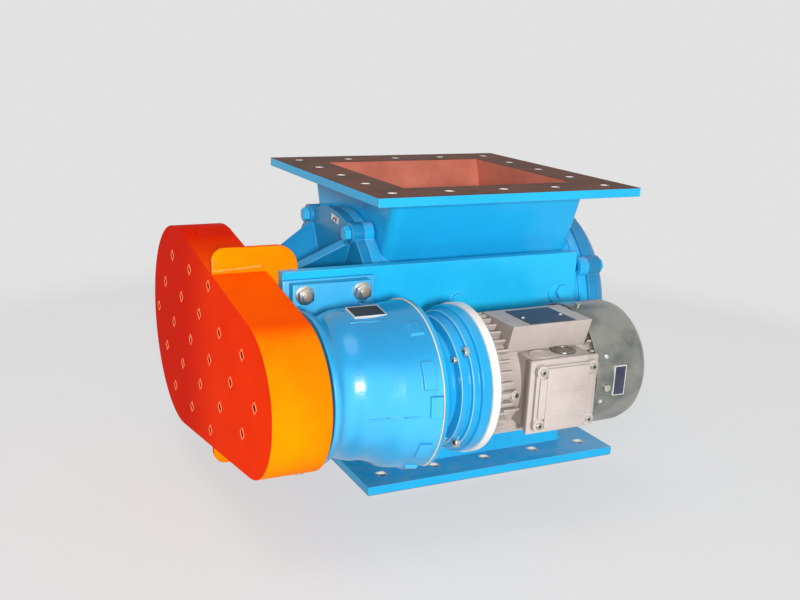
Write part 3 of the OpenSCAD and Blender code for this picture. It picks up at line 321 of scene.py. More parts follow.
def finish_of(tree, shader, light, dark, edge, amount=0.6, scale=12.0, dusting=0.0, radius=0.0008,
              bump=0.0002, coarse=120.0, fine=900.0):
    clouds = use(tree, tone, Colour=(*light, 1), Dark=(*dark, 1), Amount=amount, Scale=scale)
    film = use(tree, dust, Amount=dusting)
    tree.links.new(clouds.outputs["Colour"], film.inputs["Colour"])
    # the rounded edges are painted paler, partly as wear and partly as a painted highlight
    worn_and_lit = math_node(tree, "MULTIPLY", peel(tree, shader, radius, bump, coarse, fine), edge_wear_and_highlight)
    colour = mix_colour(tree, worn_and_lit, film.outputs["Colour"], (*edge, 1))
    tree.links.new(colour, shader.inputs["Base Color"])
    return colour


def simple(name, light, dark, edge, roughness, metallic=0.0, coat=0.0, specular=0.5, **finish):
    material, tree, shader = new_material(name, roughness, metallic, coat, specular)
    finish_of(tree, shader, light, dark, edge, **finish)
    return material


# the edge colours here and below are paler than their paints: wear plus a painted highlight
blue_edge_wear_and_highlight = (0.240, 0.700, 0.950)
blue_sheet = simple("blue enamel on plate", (0.016, 0.485, 0.840), (0.010, 0.400, 0.730), blue_edge_wear_and_highlight, 0.36,
                    coat=0.2, specular=0.2, dusting=0.10, radius=0.0015, bump=0.00012)
# painted shade: the end covers get a darker copy of the body's blue
shaded_blue_cast = simple("blue enamel on the end covers in painted shade", (0.008, 0.250, 0.500), (0.005, 0.170, 0.370), blue_edge_wear_and_highlight,
                   0.36, coat=0.25, specular=0.3, dusting=0.10, radius=0.0025, bump=0.0006, coarse=70.0,
                   fine=420.0)
blue_case = simple("blue enamel on the gear case", (0.012, 0.330, 0.620), (0.007, 0.235, 0.480), blue_edge_wear_and_highlight,
                   0.30, coat=0.35, specular=0.3, amount=0.75, scale=9.0, dusting=0.02, radius=0.0025,
                   bump=0.0005, coarse=70.0, fine=420.0)
blue_adapter = simple("blue enamel on the adapter", (0.007, 0.350, 0.660), (0.004, 0.260, 0.540), blue_edge_wear_and_highlight,
                      0.32, coat=0.35, specular=0.3, dusting=0.08, radius=0.0015, bump=0.0004, coarse=90.0,
                      fine=420.0)
print("blue paints ready")

# %% [markdown]
# ### The body casting
# The valve body is painted outside only. Its top and bottom faces are machined and oiled brown, and the
# passage inside wears red primer. One material holds all three, parted by where a point lies in the body.

# %% Masks by place and by direction
def near(tree, value, step, reach):
    """1 where value lies within reach of a whole number of steps."""
    turns = math_node(tree, "DIVIDE", value, step)
    off = math_node(tree, "ABSOLUTE", math_node(tree, "SUBTRACT", turns, math_node(tree, "ROUND", turns)))
    return math_node(tree, "LESS_THAN", off, reach / step)


def paint_light_by_facing(material, axis, sign, colour, amount, low=0.3, high=0.9):
    """Painted light and shade: faces that look along one axis get their colour moved to another, a painted
    shade when it is darker and a painted highlight when it is lighter.
    """
    tree = material.node_tree
    base = tree.nodes["Principled BSDF"].inputs["Base Color"]
    plain = base.links[0].from_socket
    along = split_axes(tree, coords(tree, "Normal"))[axis]
    turned = ramp(tree, math_node(tree, "MULTIPLY", along, sign), low, high)
    share = math_node(tree, "MULTIPLY", turned, amount)
    tree.links.new(mix_colour(tree, share, plain, (*colour, 1)), base)


bolt_step = 0.0825
print("masks ready, bolt step", bolt_step)

# %% Body casting: paint outside, primer inside, machined faces
def body_casting(passage=0.1325, throat=0.1030, waist=0.078, hole=0.0073, hole_depth=0.013, skim=0.0005,
                 gloss=0.36, duller=0.25, coat=0.2):
    """Along the rotor the passage keeps its half width; across it, it narrows to the throat."""
    material, tree, shader = new_material("blue body casting", gloss, coat=coat, specular=0.2)
    paint = finish_of(tree, shader, (0.014, 0.440, 0.790), (0.009, 0.350, 0.670), blue_edge_wear_and_highlight, amount=0.5,
                      scale=6.0, dusting=0.40, radius=0.0025, bump=0.0005, coarse=60.0, fine=380.0)
    x, y, z = split_axes(tree, coords(tree))
    half_x, half_y = math_node(tree, "ABSOLUTE", x), math_node(tree, "ABSOLUTE", y)
    height = math_node(tree, "ABSOLUTE", math_node(tree, "SUBTRACT", z, rotor_axis.z))
    top = body_high.z - rotor_axis.z
    rise = math_node(tree, "DIVIDE", math_node(tree, "SUBTRACT", height, waist), top - waist)
    wall = math_node(tree, "ADD", throat, math_node(tree, "MULTIPLY", rise, passage - throat))
    in_x = math_node(tree, "LESS_THAN", half_x, passage)
    in_y = math_node(tree, "LESS_THAN", half_y, wall)
    inside = math_node(tree, "MULTIPLY", in_x, in_y)
    faced = math_node(tree, "GREATER_THAN", height, top - skim)
    drilled = math_node(tree, "MULTIPLY", near(tree, x, bolt_step, hole), near(tree, y, bolt_step, hole))
    drilled = math_node(tree, "MULTIPLY", drilled, math_node(tree, "GREATER_THAN", height, top - hole_depth))
    drilled = math_node(tree, "MULTIPLY", drilled, math_node(tree, "SUBTRACT", 1.0, inside))
    primer = use(tree, tone, Colour=(0.58, 0.175, 0.115, 1), Dark=(0.40, 0.105, 0.070, 1), Amount=0.8,
                 Scale=11.0)
    oiled = use(tree, tone, Colour=(0.125, 0.034, 0.010, 1), Dark=(0.045, 0.016, 0.006, 1), Amount=0.8,
                Scale=24.0)
    under = mix_colour(tree, inside, paint, primer.outputs["Colour"])
    under = mix_colour(tree, drilled, under, (0.72, 0.70, 0.66, 1))
    tree.links.new(mix_colour(tree, faced, under, oiled.outputs["Colour"]), shader.inputs["Base Color"])
    bare = math_node(tree, "MAXIMUM", inside, faced)
    roughness = math_node(tree, "ADD", math_node(tree, "MULTIPLY", bare, duller), gloss)
    tree.links.new(roughness, shader.inputs["Roughness"])
    lacquer = math_node(tree, "SUBTRACT", coat, math_node(tree, "MULTIPLY", bare, coat))
    tree.links.new(lacquer, shader.inputs["Coat Weight"])
    return material


blue_body = body_casting()
print("material", blue_body.name)

# %% [markdown]
# ### Guard enamel
# The guard is sprayed a signal orange. Its colour holds painted light and shade: the broad face is painted a
# deep red orange, deeper toward the rotor's end as a painted shade, and the rim a yellow orange as painted
# light. So the colour follows the direction of the sheet and the place along it.

# %% Guard enamel
def by_direction(tree, value, stops):
    node = tree.nodes.new("ShaderNodeValToRGB")
    band = node.color_ramp
    while len(band.elements) < len(stops):
        band.elements.new(0.5)
    for element, (place, colour) in zip(band.elements, stops):
        element.position = place
        element.color = (*colour, 1)
    tree.links.new(value, node.inputs["Fac"])
    return node.outputs["Color"]


# painted light and shade by how far the sheet looks to the front: 0 to the rear, 0.5 on the broad face, 1 to
# the front
sheet_light_stops = [(0.10, (0.97, 0.180, 0.001)), (0.30, (0.96, 0.050, 0.0008)), (0.508, (0.97, 0.038, 0.0006)),
               (0.53, (0.97, 0.085, 0.0008)), (0.62, (0.98, 0.130, 0.001)), (0.74, (0.98, 0.240, 0.001)),
               (0.91, (0.97, 0.270, 0.001))]
# the guard's far side, toward the rotor's end, is painted a deeper red as painted shade
rotor_end_shade_red = (0.72, 0.013, 0.0005, 1)
clouded_red = (0.80, 0.014, 0.0005, 1)
shaded_red = (0.16, 0.004, 0.001, 1)


def guard_enamel(name, inner):
    material, tree, shader = new_material(name, 0.45, specular=0.004)
    peel(tree, shader, radius=0.0015, bump=0.00012, coarse=110.0, fine=800.0)
    facing = split_axes(tree, coords(tree, "Normal"))
    side = math_node(tree, "ADD", math_node(tree, "MULTIPLY", facing[1], -0.5), 0.5)
    place = split_axes(tree, coords(tree))
    # painted shade: the sheet nearer the rotor's end is painted a deeper red
    nearness = ramp(tree, math_node(tree, "MULTIPLY", place[1], -1.0), 0.02, 0.19)
    colour = mix_colour(tree, nearness, rotor_end_shade_red, by_direction(tree, side, sheet_light_stops))
    clouds = use(tree, tone, Dark=clouded_red, Amount=0.35, Scale=5.0)
    tree.links.new(colour, clouds.inputs["Colour"])
    colour = clouds.outputs["Colour"]
    if inner:
        back = ramp(tree, math_node(tree, "MULTIPLY", facing[0], -1.0), 0.5, 0.9)
        colour = mix_colour(tree, back, colour, shaded_red)
    tree.links.new(colour, shader.inputs["Base Color"])
    return material


orange = guard_enamel("orange guard enamel", inner=False)
orange_inside = guard_enamel("orange enamel in the guard's shade", inner=True)
print("materials", orange.name, "and", orange_inside.name)

# %% [markdown]
# ### Motor, screws and small parts
# The motor's shell is die cast and lacquered a warm silver, its fan cowl is pressed sheet in a dull grey,
# and the gear unit's nuts are zinc plated. Screws that were in place when the valve was sprayed are blue.

# %% Metals, lacquers and plastics
white_edge_wear_and_highlight = (0.95, 0.93, 0.90)
silver = simple("warm silver lacquer", (0.51, 0.450, 0.415), (0.36, 0.305, 0.27), white_edge_wear_and_highlight, 0.45,
                metallic=0.05, specular=0.12, scale=14.0, dusting=0.05, radius=0.0012, bump=0.0004,
                fine=800.0)
silver_flange = simple("silver lacquer on the flange", (0.82, 0.80, 0.77), (0.66, 0.60, 0.54), white_edge_wear_and_highlight,
                       0.34, metallic=0.1, coat=0.25, amount=0.5, scale=18.0, radius=0.0012, bump=0.0003)
cowl_grey = simple("dull grey cowl", (0.250, 0.250, 0.225), (0.085, 0.096, 0.088), (0.62, 0.62, 0.60),
                   0.34, metallic=0.35, coat=0.3, amount=1.0, scale=16.0, dusting=0.05, radius=0.0015,
                   bump=0.00012)
zinc = simple("zinc plate", (0.70, 0.68, 0.62), (0.40, 0.37, 0.32), white_edge_wear_and_highlight, 0.30, metallic=1.0,
              amount=0.7, scale=60.0, radius=0.0005, bump=0.00006, coarse=300.0, fine=1500.0)
steel = simple("ground steel", (0.52, 0.51, 0.50), (0.36, 0.35, 0.34), white_edge_wear_and_highlight, 0.28, metallic=1.0,
               scale=30.0, radius=0.0004, bump=0.00005, coarse=200.0, fine=1600.0)
cast_iron = simple("bare cast rotor", (0.20, 0.19, 0.18), (0.11, 0.10, 0.095), (0.4, 0.39, 0.37), 0.55,
                   metallic=0.8, amount=0.7, scale=26.0, bump=0.0004)
laminate = simple("laminations", (0.30, 0.30, 0.31), (0.17, 0.17, 0.18), (0.5, 0.5, 0.5), 0.45,
                  metallic=0.9, scale=40.0)
copper = simple("enamelled copper", (0.62, 0.24, 0.10), (0.42, 0.14, 0.06), (0.8, 0.4, 0.2), 0.35,
                metallic=0.8, scale=70.0)
chain_steel = simple("oiled chain steel", (0.25, 0.24, 0.23), (0.12, 0.11, 0.10), (0.5, 0.5, 0.48), 0.35,
                     metallic=1.0, scale=50.0)
black_plastic = simple("black moulded plastic", (0.028, 0.028, 0.030), (0.018, 0.018, 0.019),
                       (0.1, 0.1, 0.1), 0.5, amount=0.5, scale=40.0, dusting=0.06, bump=0.00012,
                       coarse=400.0, fine=1800.0)
plate_dark = simple("dark label plate", (0.020, 0.021, 0.024), (0.012, 0.012, 0.014), (0.05, 0.05, 0.05),
                    0.4, metallic=0.2, scale=30.0, bump=0.00004)
plate_slate = simple("slate label plate", (0.052, 0.056, 0.090), (0.020, 0.018, 0.040), (0.3, 0.3, 0.3),
                     0.42, specular=0.2, scale=24.0, bump=0.00004)
plate_light = simple("plain aluminium plate", (0.76, 0.75, 0.73), (0.58, 0.58, 0.57), white_edge_wear_and_highlight, 0.34,
                     metallic=0.6, scale=30.0, radius=0.0003, bump=0.00005)
plate_rim = simple("pale plate border", (0.80, 0.80, 0.78), (0.66, 0.66, 0.64), white_edge_wear_and_highlight, 0.35,
                   metallic=0.3, scale=40.0, bump=0.00004)
cream = simple("bare weld and paint chips", (0.93, 0.70, 0.42), (0.85, 0.52, 0.26), (1.0, 0.9, 0.7), 0.4,
               coat=0.2, scale=90.0, bump=0.0001)
edge_highlight_blue = simple("painted highlight on the adapter's step edges", (0.28, 0.62, 0.80), (0.16, 0.50, 0.74), (0.7, 0.9, 1.0),
                   0.3, coat=0.3, scale=40.0)
stud_end = simple("sawn stud end", (0.46, 0.36, 0.27), (0.30, 0.22, 0.16), white_edge_wear_and_highlight, 0.4, metallic=0.6,
                  scale=200.0)
# the sockets' faces are painted near black, a painted shade in the recess
socket_shade = simple("painted shade in the sockets", (0.035, 0.04, 0.05), (0.015, 0.018, 0.02), (0.1, 0.1, 0.1), 0.5,
                     scale=90.0)
plug_metal = simple("dark closing plug", (0.23, 0.205, 0.19), (0.10, 0.088, 0.080), (0.7, 0.66, 0.6), 0.32,
                    metallic=0.7, scale=70.0, radius=0.0006, bump=0.0001)
shade_red = simple("red shade in the holes", (0.20, 0.006, 0.002), (0.12, 0.003, 0.001), (0.3, 0.02, 0.01),
                   0.5, specular=0.02, scale=60.0)
shade_orange = simple("orange enamel on the top plate", (0.62, 0.016, 0.002), (0.45, 0.010, 0.001),
                      (0.95, 0.2, 0.02), 0.5, specular=0.02, scale=40.0)
lip_highlight_orange = simple("lip enamel with a painted highlight", (0.98, 0.20, 0.04), (0.93, 0.10, 0.015), (1.0, 0.70, 0.40), 0.4,
                      specular=0.3, coat=0.1, scale=60.0, bump=0.0001)
orange_bead = simple("enamel over the welds", (1.0, 0.36, 0.030), (0.95, 0.20, 0.008), (1.0, 0.62, 0.25),
                     0.4, specular=0.2, coat=0.2, scale=60.0)
arrow_red = simple("dark red arrow", (0.30, 0.016, 0.018), (0.20, 0.010, 0.012), (0.4, 0.1, 0.1), 0.4,
                   scale=60.0)
# painted shade on the motor's faces that look to -X and on the top of the gear case, and a painted highlight
# on the gear case's front
paint_light_by_facing(silver, 0, -1.0, (0.25, 0.205, 0.175), 0.75)
paint_light_by_facing(blue_case, 2, 1.0, (0.004, 0.220, 0.470), 0.8)
paint_light_by_facing(blue_case, 1, -1.0, (0.060, 0.450, 0.780), 0.7, low=0.75, high=1.0)
print("metals, lacquers and plastics ready")

# %% Give each node its finish
finishes = {
    blue_body: ["valve_housing"],
    shaded_blue_cast: ["drive_end_cover", "outboard_cover", "bearing_caps"],
    blue_case: ["gear_case"],
    blue_adapter: ["motor_adapter"],
    blue_sheet: ["drive_plate", "cover_screws", "cap_screws", "drive_plate_screws"],
    orange: ["guard_cover", "guard_straps"],
    orange_inside: ["guard_back"],
    silver: ["stator_frame", "rear_shield", "terminal_box", "terminal_lid"],
    silver_flange: ["motor_flange"],
    cowl_grey: ["fan_cowl"],
    zinc: ["foot_bolts", "adapter_screws", "lid_screws", "cowl_screws", "guard_screws"],
    steel: ["bearing_outer_rings", "bearing_inner_rings", "bearing_balls", "rotor_shaft", "driven_key",
            "gear_bearings", "output_shaft", "output_wheel", "layshaft", "layshaft_wheel", "motor_bearings",
            "motor_shaft"],
    cast_iron: ["rotor_vanes", "rotor_core"],
    laminate: ["stator_core"],
    copper: ["stator_windings"],
    chain_steel: ["driven_sprocket", "drive_sprocket", "roller_chain"],
    black_plastic: ["shaft_seals", "blanking_plugs", "cooling_fan"],
    plate_dark: ["cowl_plate", "gear_nameplate"],
    plate_slate: ["motor_nameplate"],
    plate_light: ["rotation_plate"],
}


for material, names in finishes.items():
    for name in names:
        mesh = nodes[name].data
        mesh.materials.clear()
        mesh.materials.append(material)
left = sorted(set(nodes) - {name for names in finishes.values() for name in names})
print("nodes without a finish:", left)

# %% [markdown]
# ## Modelled pieces
# The mechanical model has the main forms. What it lacks is modelled here with bmesh operators, in place,
# in millimetres of the frame: the rounded gear casing, hole lips, weld beads, plates with borders, nuts
# with stud ends. Each piece rides on its body.

# %% Helpers for modelled pieces
mm = 0.001
facing = {
    "+z": Matrix.Identity(4),
    "-x": Matrix.Rotation(math.radians(-90), 4, "Y"),
    "-y": Matrix.Rotation(math.radians(90), 4, "X"),
    "+y": Matrix.Rotation(math.radians(-90), 4, "X"),
}


def finished(name, shape, materials, body, replaces=(), smooth=30):
    mesh = bpy.data.meshes.new(name)
    shape.to_mesh(mesh)
    shape.free()
    for material in materials:
        mesh.materials.append(material)
    mesh.shade_smooth()
    mesh.set_sharp_from_angle(angle=math.radians(smooth))
    piece = bpy.data.objects.new(name, mesh)
    scene.collection.objects.link(piece)
    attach(piece, body)
    if replaces:
        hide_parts(*replaces)
    print(name, len(mesh.polygons), "faces")


def faces_of(verts):
    return {face for vert in verts for face in vert.link_faces}


def verts_in(made):
    return [item for item in made["geom"] if isinstance(item, bmesh.types.BMVert)]


def farthest(faces, out):
    return max(faces, key=lambda face: face.calc_center_median().dot(out))


def bevel(shape, edges, width):
    bmesh.ops.bevel(shape, geom=edges, offset=width * mm, segments=2, profile=0.5, affect="EDGES",
                    clamp_overlap=True, material=-1)


def block(shape, low, high, round_off, turn=None):
    """A rounded block between two corners given in millimetres."""
    low, high = Vector(low) * mm, Vector(high) * mm
    verts = bmesh.ops.create_cube(shape, size=1)["verts"]
    bmesh.ops.scale(shape, vec=high - low, verts=verts)
    if turn is not None:
        bmesh.ops.transform(shape, matrix=turn, verts=verts)
    bmesh.ops.translate(shape, vec=(low + high) / 2, verts=verts)
    bevel(shape, list({edge for vert in verts for edge in vert.link_edges}), round_off)


def round_piece(shape, place, way, radius, depth, tip=None, sides=28, round_off=0.0, slot=0):
    """A disc, pin or nut that stands on a place and points one way; its end face is returned."""
    standing = Matrix.Translation((0, 0, depth / 2 * mm))
    matrix = Matrix.Translation(Vector(place) * mm) @ facing[way] @ standing
    made = bmesh.ops.create_cone(shape, cap_ends=True, segments=sides, radius1=radius * mm,
                                 radius2=(radius if tip is None else tip) * mm, depth=depth * mm,
                                 matrix=matrix)
    for face in faces_of(made["verts"]):
        face.material_index = slot
    out = (facing[way] @ Vector((0, 0, 1))).normalized()
    end = farthest(faces_of(made["verts"]), out)
    if round_off:
        bevel(shape, list(end.edges), round_off)
        on_line = [face for face in shape.faces
                   if face.normal.dot(out) > 0.99 and face.material_index == slot
                   and (face.calc_center_median() - Vector(place) * mm).cross(out).length < radius * mm * 0.2]
        end = farthest(on_line, out)
    return end


def sink(shape, face, border, depth, slot):
    """Inset a face and push its middle in, as a socket."""
    bmesh.ops.inset_region(shape, faces=[face], thickness=border * mm)
    out = face.normal.copy()
    moved = verts_in(bmesh.ops.extrude_face_region(shape, geom=[face]))
    bmesh.ops.translate(shape, vec=-out * depth * mm, verts=moved)
    if face.is_valid:
        bmesh.ops.delete(shape, geom=[face], context="FACES")
    for item in faces_of(moved):
        item.material_index = slot


def spun(shape, profile, steps=96):
    """A closed profile of (radius, x) in millimetres, spun round the drive axis."""
    verts = [shape.verts.new((x * mm, drive_axis.y, drive_axis.z + radius * mm)) for radius, x in profile]
    edges = [shape.edges.new((a, b)) for a, b in zip(verts, verts[1:] + verts[:1])]
    bmesh.ops.spin(shape, geom=verts + edges, cent=drive_axis, axis=(1, 0, 0), dvec=(0, 0, 0),
                   angle=math.tau, steps=steps, use_merge=True, use_duplicate=False)
    bmesh.ops.recalc_face_normals(shape, faces=shape.faces)


def on_axis(angle, radius, x, lift=0.0):
    """A place round the drive axis, in millimetres; the angle starts at the front and goes up."""
    a = math.radians(angle)
    return (x, drive_axis.y / mm - radius * math.cos(a), drive_axis.z / mm + lift + radius * math.sin(a))


def merged_copy(node):
    shape = bmesh.new()
    shape.from_mesh(nodes[node].data)
    bmesh.ops.remove_doubles(shape, verts=shape.verts, dist=1e-6)
    return shape


print("modelling helpers ready")

# %% [markdown]
# ### Gear casing
# The real casing is a smooth bell: a collar at the output end, a neck, a shoulder that swells into a long
# barrel, and a flare to the rear rim. A profile spun round the shaft gives it. The barrel sits a little
# above the shaft's line, so its rings are lifted after the spin, the underside is cast flat, and the raised
# pads are inset from the barrel's own faces.

# %% Gear casing: barrel with its flare
outside = [
    (31.3, -330.5), (87.4, -330.5), (88.2, -329.8), (88.2, -326.5), (87.2, -323.5), (84.4, -319.5),
    (82.4, -315.5), (81.6, -311.5), (81.8, -308), (83.2, -302.5), (85.6, -297.5), (87.4, -292), (88.2, -286),
    (88.4, -280), (89, -272), (90.5, -264), (92.6, -257), (94.7, -251), (96, -245), (97, -236), (98, -229),
    (99, -222), (100, -213), (101, -207.5), (101.4, -206), (101, -205.2)]
inside = [(94.4, -205.3), (93.7, -236.5), (94, -250), (84, -271), (82, -289), (78, -301), (72, -306),
          (40, -306), (40, -281), (31.3, -281)]
inner_stations = [x for radius, x in inside]
# rings nearer the shaft than this belong to the bore and stay on its line
bore_radius = 50
# how far the middle of the barrel lies above the shaft, from each station on
lifts = [(-280.5, 8.0), (-273, 7.0), (-265, 5.2), (-258, 3.4), (-252, 2.0), (-246, 1.5), (-237, 1.2),
         (-230, 0.9), (-223, 0.6), (-214, 0.2), (-208, 0.0)]
# how high the flat underside lies, up to each station: lower where the wheel inside needs the room
under_rim = 111.5
undersides = [(-256, 113.0), (-254.5, 108.0), (-251, 99.4), (-232, 99.4), (-228, 105.0), (-224, 110.0),
              (-200, under_rim)]
under_wall = 2.5


def gear_casing():
    shape = bmesh.new()
    spun(shape, outside + inside)
    axis = Vector((0, drive_axis.y, drive_axis.z))
    for station in sorted({x for radius, x in outside + inside if radius > bore_radius}):
        ring = [vert for vert in shape.verts if abs(vert.co.x - station * mm) < 1e-6
                and (Vector((0, vert.co.y, vert.co.z)) - axis).length > bore_radius * mm]
        lift = next((high for place, high in reversed(lifts) if station >= place), lifts[0][1])
        bmesh.ops.translate(shape, vec=(0, 0, lift * mm), verts=ring)
        lowest = next(low for place, low in undersides if station <= place)
        if station in inner_stations:
            lowest += under_wall
        for vert in ring:
            vert.co.z = max(vert.co.z, lowest * mm)
    return shape


def raise_pad(shape, x_range, angles, height=3.2, border=1.0, barrel=86):
    picked = []
    for face in shape.faces:
        at = face.calc_center_median()
        away = Vector((0, at.y - drive_axis.y, at.z - drive_axis.z))
        angle = math.degrees(math.atan2(away.z, -away.y))
        if (x_range[0] * mm < at.x < x_range[1] * mm and angles[0] < angle < angles[1]
                and away.length > barrel * mm and face.normal.dot(away) > 0):
            picked.append(face)
    bmesh.ops.inset_region(shape, faces=picked, thickness=border * mm, depth=height * mm,
                           use_even_offset=True)


# the pads by their stations and their angles above the front
pads = [((-230, -212), (14, 34)), ((-223, -206.5), (-4, 13)), ((-230, -212), (-36, -22)),
        ((-230, -212), (52, 64)), ((-230, -212), (-66, -54))]
casing = gear_casing()
for x_range, angles in pads:
    raise_pad(casing, x_range, angles)
print("casing faces", len(casing.faces))

# %% Gear casing: feet, webs and parting lines
feet = [((-320, -189, 87), (-196.5, -183.2, 302)), ((-312, -203, 89), (-207, -188.5, 299.5))]
for low, high in feet:
    block(casing, low, high, 1.6)
for side, web_start in ((-1, -268), (1, -244)):
    for x in (-312, -227):
        block(casing, (x, web_start, 188 + side * 73), (x + 10, -186, 200 + side * 73), 1.5)
# a parting line's strips, each by its angle, its two ends, its radius and the lift of the barrel there
parting = [(-7.2, -290, -270, 88.4, 8), (-5, -271, -249, 90.9, 5), (-2.4, -251, -224, 96.6, 1.4),
           (70.5, -290, -270, 88.4, 8), (70.5, -271, -249, 90.9, 5)]
strip_half = 0.9
for angle, start, end, radius, lift in parting:
    at = Vector(on_axis(angle, radius, (start + end) / 2, lift))
    half = Vector(((end - start) / 2, strip_half, strip_half))
    block(casing, at - half, at + half, 0.4, Matrix.Rotation(math.radians(-angle), 4, "X"))
finished("gear_casing", casing, [blue_case], "housing", ["gear_case"])

# %% [markdown]
# ### Adapter, gasket and socket screws
# Behind the casing a stepped bell carries the motor. It is turned, so its profile is spun too, and two thin
# pale rings on its steps are a painted highlight of their edges. A pale gasket shows as a hairline between
# casing and adapter, and the sockets of the screws are painted dark, a painted shade.

# %% Adapter, gasket and painted edge highlights
adapter = bmesh.new()
spun(adapter, [
    (44, -136), (89, -136), (90, -137), (90, -147.5), (89.2, -148.6), (85, -149), (84.4, -149.8),
    (84.2, -156.5), (83.2, -157.6), (79.2, -158), (78.6, -158.8), (78.4, -168.8), (77.4, -170), (66, -170.3),
    (64, -173), (64, -182), (68, -190), (82, -195), (100.5, -198), (102, -199.5), (102, -204), (101.3, -205),
    (60, -205), (58, -180), (44, -150)])
# the rim is cast flat below, as the casing is
rim_start = -196
for vert in adapter.verts:
    if vert.co.x < rim_start * mm:
        vert.co.z = max(vert.co.z, under_rim * mm)
finished("motor_adapter_bell", adapter, [blue_adapter], "housing", ["motor_adapter"])
gasket = bmesh.new()
gasket_inside, gasket_outside = 98, 102.4
spun(gasket, [(gasket_inside, -205.6), (gasket_outside, -205.6), (gasket_outside, -204.7),
              (gasket_inside, -204.7)])
for vert in gasket.verts:
    inner = (vert.co.yz - drive_axis.yz).length < 100 * mm
    vert.co.z = max(vert.co.z, (under_rim + (1.0 if inner else -0.4)) * mm)
finished("rim_gasket", gasket, [cream], "housing")
# two pale rings on the steps' edges, a painted highlight
rings = bmesh.new()
for radius, x in ((83.6, -157.5), (78.3, -169.7)):
    spun(rings, [(radius, x - 0.3), (radius + 0.9, x - 0.3), (radius + 0.9, x + 0.6), (radius, x + 0.6)])
finished("adapter_edge_rings", rings, [edge_highlight_blue], "housing")

# %% Socket screws of the adapter
screws = bmesh.new()
for angle in (41, 131, 221, 311):
    head = round_piece(screws, on_axis(angle, 81, -157), "-x", 6.4, 5.5, sides=24, round_off=0.8)
    sink(screws, head, 2.4, 3.0, 1)
    head = round_piece(screws, on_axis(angle - 4, 73.5, -170), "-x", 4.4, 4.0, sides=20, round_off=0.6)
    sink(screws, head, 1.8, 2.0, 1)
finished("adapter_socket_screws", screws, [zinc, socket_shade], "housing", ["adapter_screws"])

# %% [markdown]
# ### Nuts of the casing's feet
# Two studs a side hold the casing to the drive plate. The nut, its washer and the sawn end of the stud are
# what one sees, so each is modelled, with the bolt's head behind the plate.

# %% Nuts, washers and stud ends
# each part by where it stands, its way, radius, depth, sides, rounding and material
stud_parts = [(-203, "-y", 12.0, 1.8, 28, 0.5, 0), (-204.8, "-y", 10.6, 7.4, 6, 1.1, 0),
              (-212.0, "-y", 5.6, 2.8, 28, 0.7, 1), (-168, "+y", 11.0, 2.0, 28, 0.5, 0),
              (-166, "+y", 9.6, 6.0, 6, 0.8, 0)]
nuts = bmesh.new()
for x in (-296.5, -220.5):
    for z in (102, 286):
        for y, way, radius, depth, sides, round_off, slot in stud_parts:
            round_piece(nuts, (x, y, z), way, radius, depth, sides=sides, round_off=round_off, slot=slot)
finished("foot_nuts", nuts, [zinc, stud_end], "housing", ["foot_bolts"], smooth=25)
washers = bmesh.new()
for x in (-70.5, 88.5):
    for z in (145, 255):
        round_piece(washers, (x, -183, z), "-y", 15.0, 2.2, sides=36, round_off=0.7)
finished("plate_washers", washers, [blue_sheet], "housing")

# %% [markdown]
# ### Plates
# Each plate is a thin sheet with a pale border and a sunk dark field, and the motor's own plate gets two
# small rivets. The fields stay bare. The rotation plate carries a plain curved arrow.

# %% Bordered plates
def plate(shape, width, height, thick, border, matrix):
    """A plate lying in XY with a pale border in slot 0 and a dark field in slot 1."""
    verts = bmesh.ops.create_cube(shape, size=1)["verts"]
    bmesh.ops.scale(shape, vec=Vector((width, height, thick)) * mm, verts=verts)
    top = farthest(shape.faces, Vector((0, 0, 1)))
    bmesh.ops.inset_region(shape, faces=[top], thickness=border * mm, depth=-0.15 * mm)
    top.material_index = 1
    bmesh.ops.transform(shape, matrix=matrix, verts=shape.verts)


def seat_at(place, tilt):
    """The frame of a plate whose middle is at a place and whose face leans from up toward the front."""
    return Matrix.Translation(Vector(place) * mm) @ Matrix.Rotation(math.radians(tilt), 4, "X")


gear_plate = bmesh.new()
plate(gear_plate, 40, 28, 4, 1.5, seat_at((-262, -306.5, 289.6), 8))
finished("gear_plate", gear_plate, [plate_rim, plate_dark], "housing", ["gear_nameplate"])
fan_plate = bmesh.new()
plate(fan_plate, 17, 38, 4.0, 1.2, seat_at((52.5, -375.2, 194.5), 90))
finished("fan_plate", fan_plate, [plate_rim, plate_slate], "housing", ["cowl_plate"])

# %% Rivets of the motor plate and screws of the cowl
rivets = bmesh.new()
for x, y in ((-67, -333), (-14, -334)):
    round_piece(rivets, (x, y, 273), "+z", 2.4, 1.2, tip=1.2, sides=16)
for angle, x in ((23, 34), (-19, 30)):
    round_piece(rivets, on_axis(angle, 78.6, x), "-y", 3.2, 2.4, tip=1.8, sides=16)
finished("small_rivets", rivets, [plate_light], "housing")

# %% Arrow on the rotation plate
def bent_arrow(shape, centre, radius, width, start, sweep, barb=1.9, point=34, thick=0.4):
    """A flat arrow bent round a centre on a face that looks to -X."""
    x, y, z = centre

    def at(reach, angle):
        a = math.radians(angle)
        return shape.verts.new(Vector((x, y + reach * math.cos(a), z + reach * math.sin(a))) * mm)

    verts = [at(radius - width / 2, start), at(radius + width / 2, start)]
    edge = shape.edges.new(verts)
    bmesh.ops.spin(shape, geom=verts + [edge], cent=Vector(centre) * mm, axis=(1, 0, 0), dvec=(0, 0, 0),
                   angle=math.radians(sweep), steps=10, use_duplicate=False)
    end = start + sweep
    shape.faces.new([at(radius - barb * width, end), at(radius + barb * width, end), at(radius, end + point)])
    raised = verts_in(bmesh.ops.extrude_face_region(shape, geom=list(shape.faces)))
    bmesh.ops.translate(shape, vec=(-thick * mm, 0, 0), verts=raised)
    bmesh.ops.recalc_face_normals(shape, faces=shape.faces)


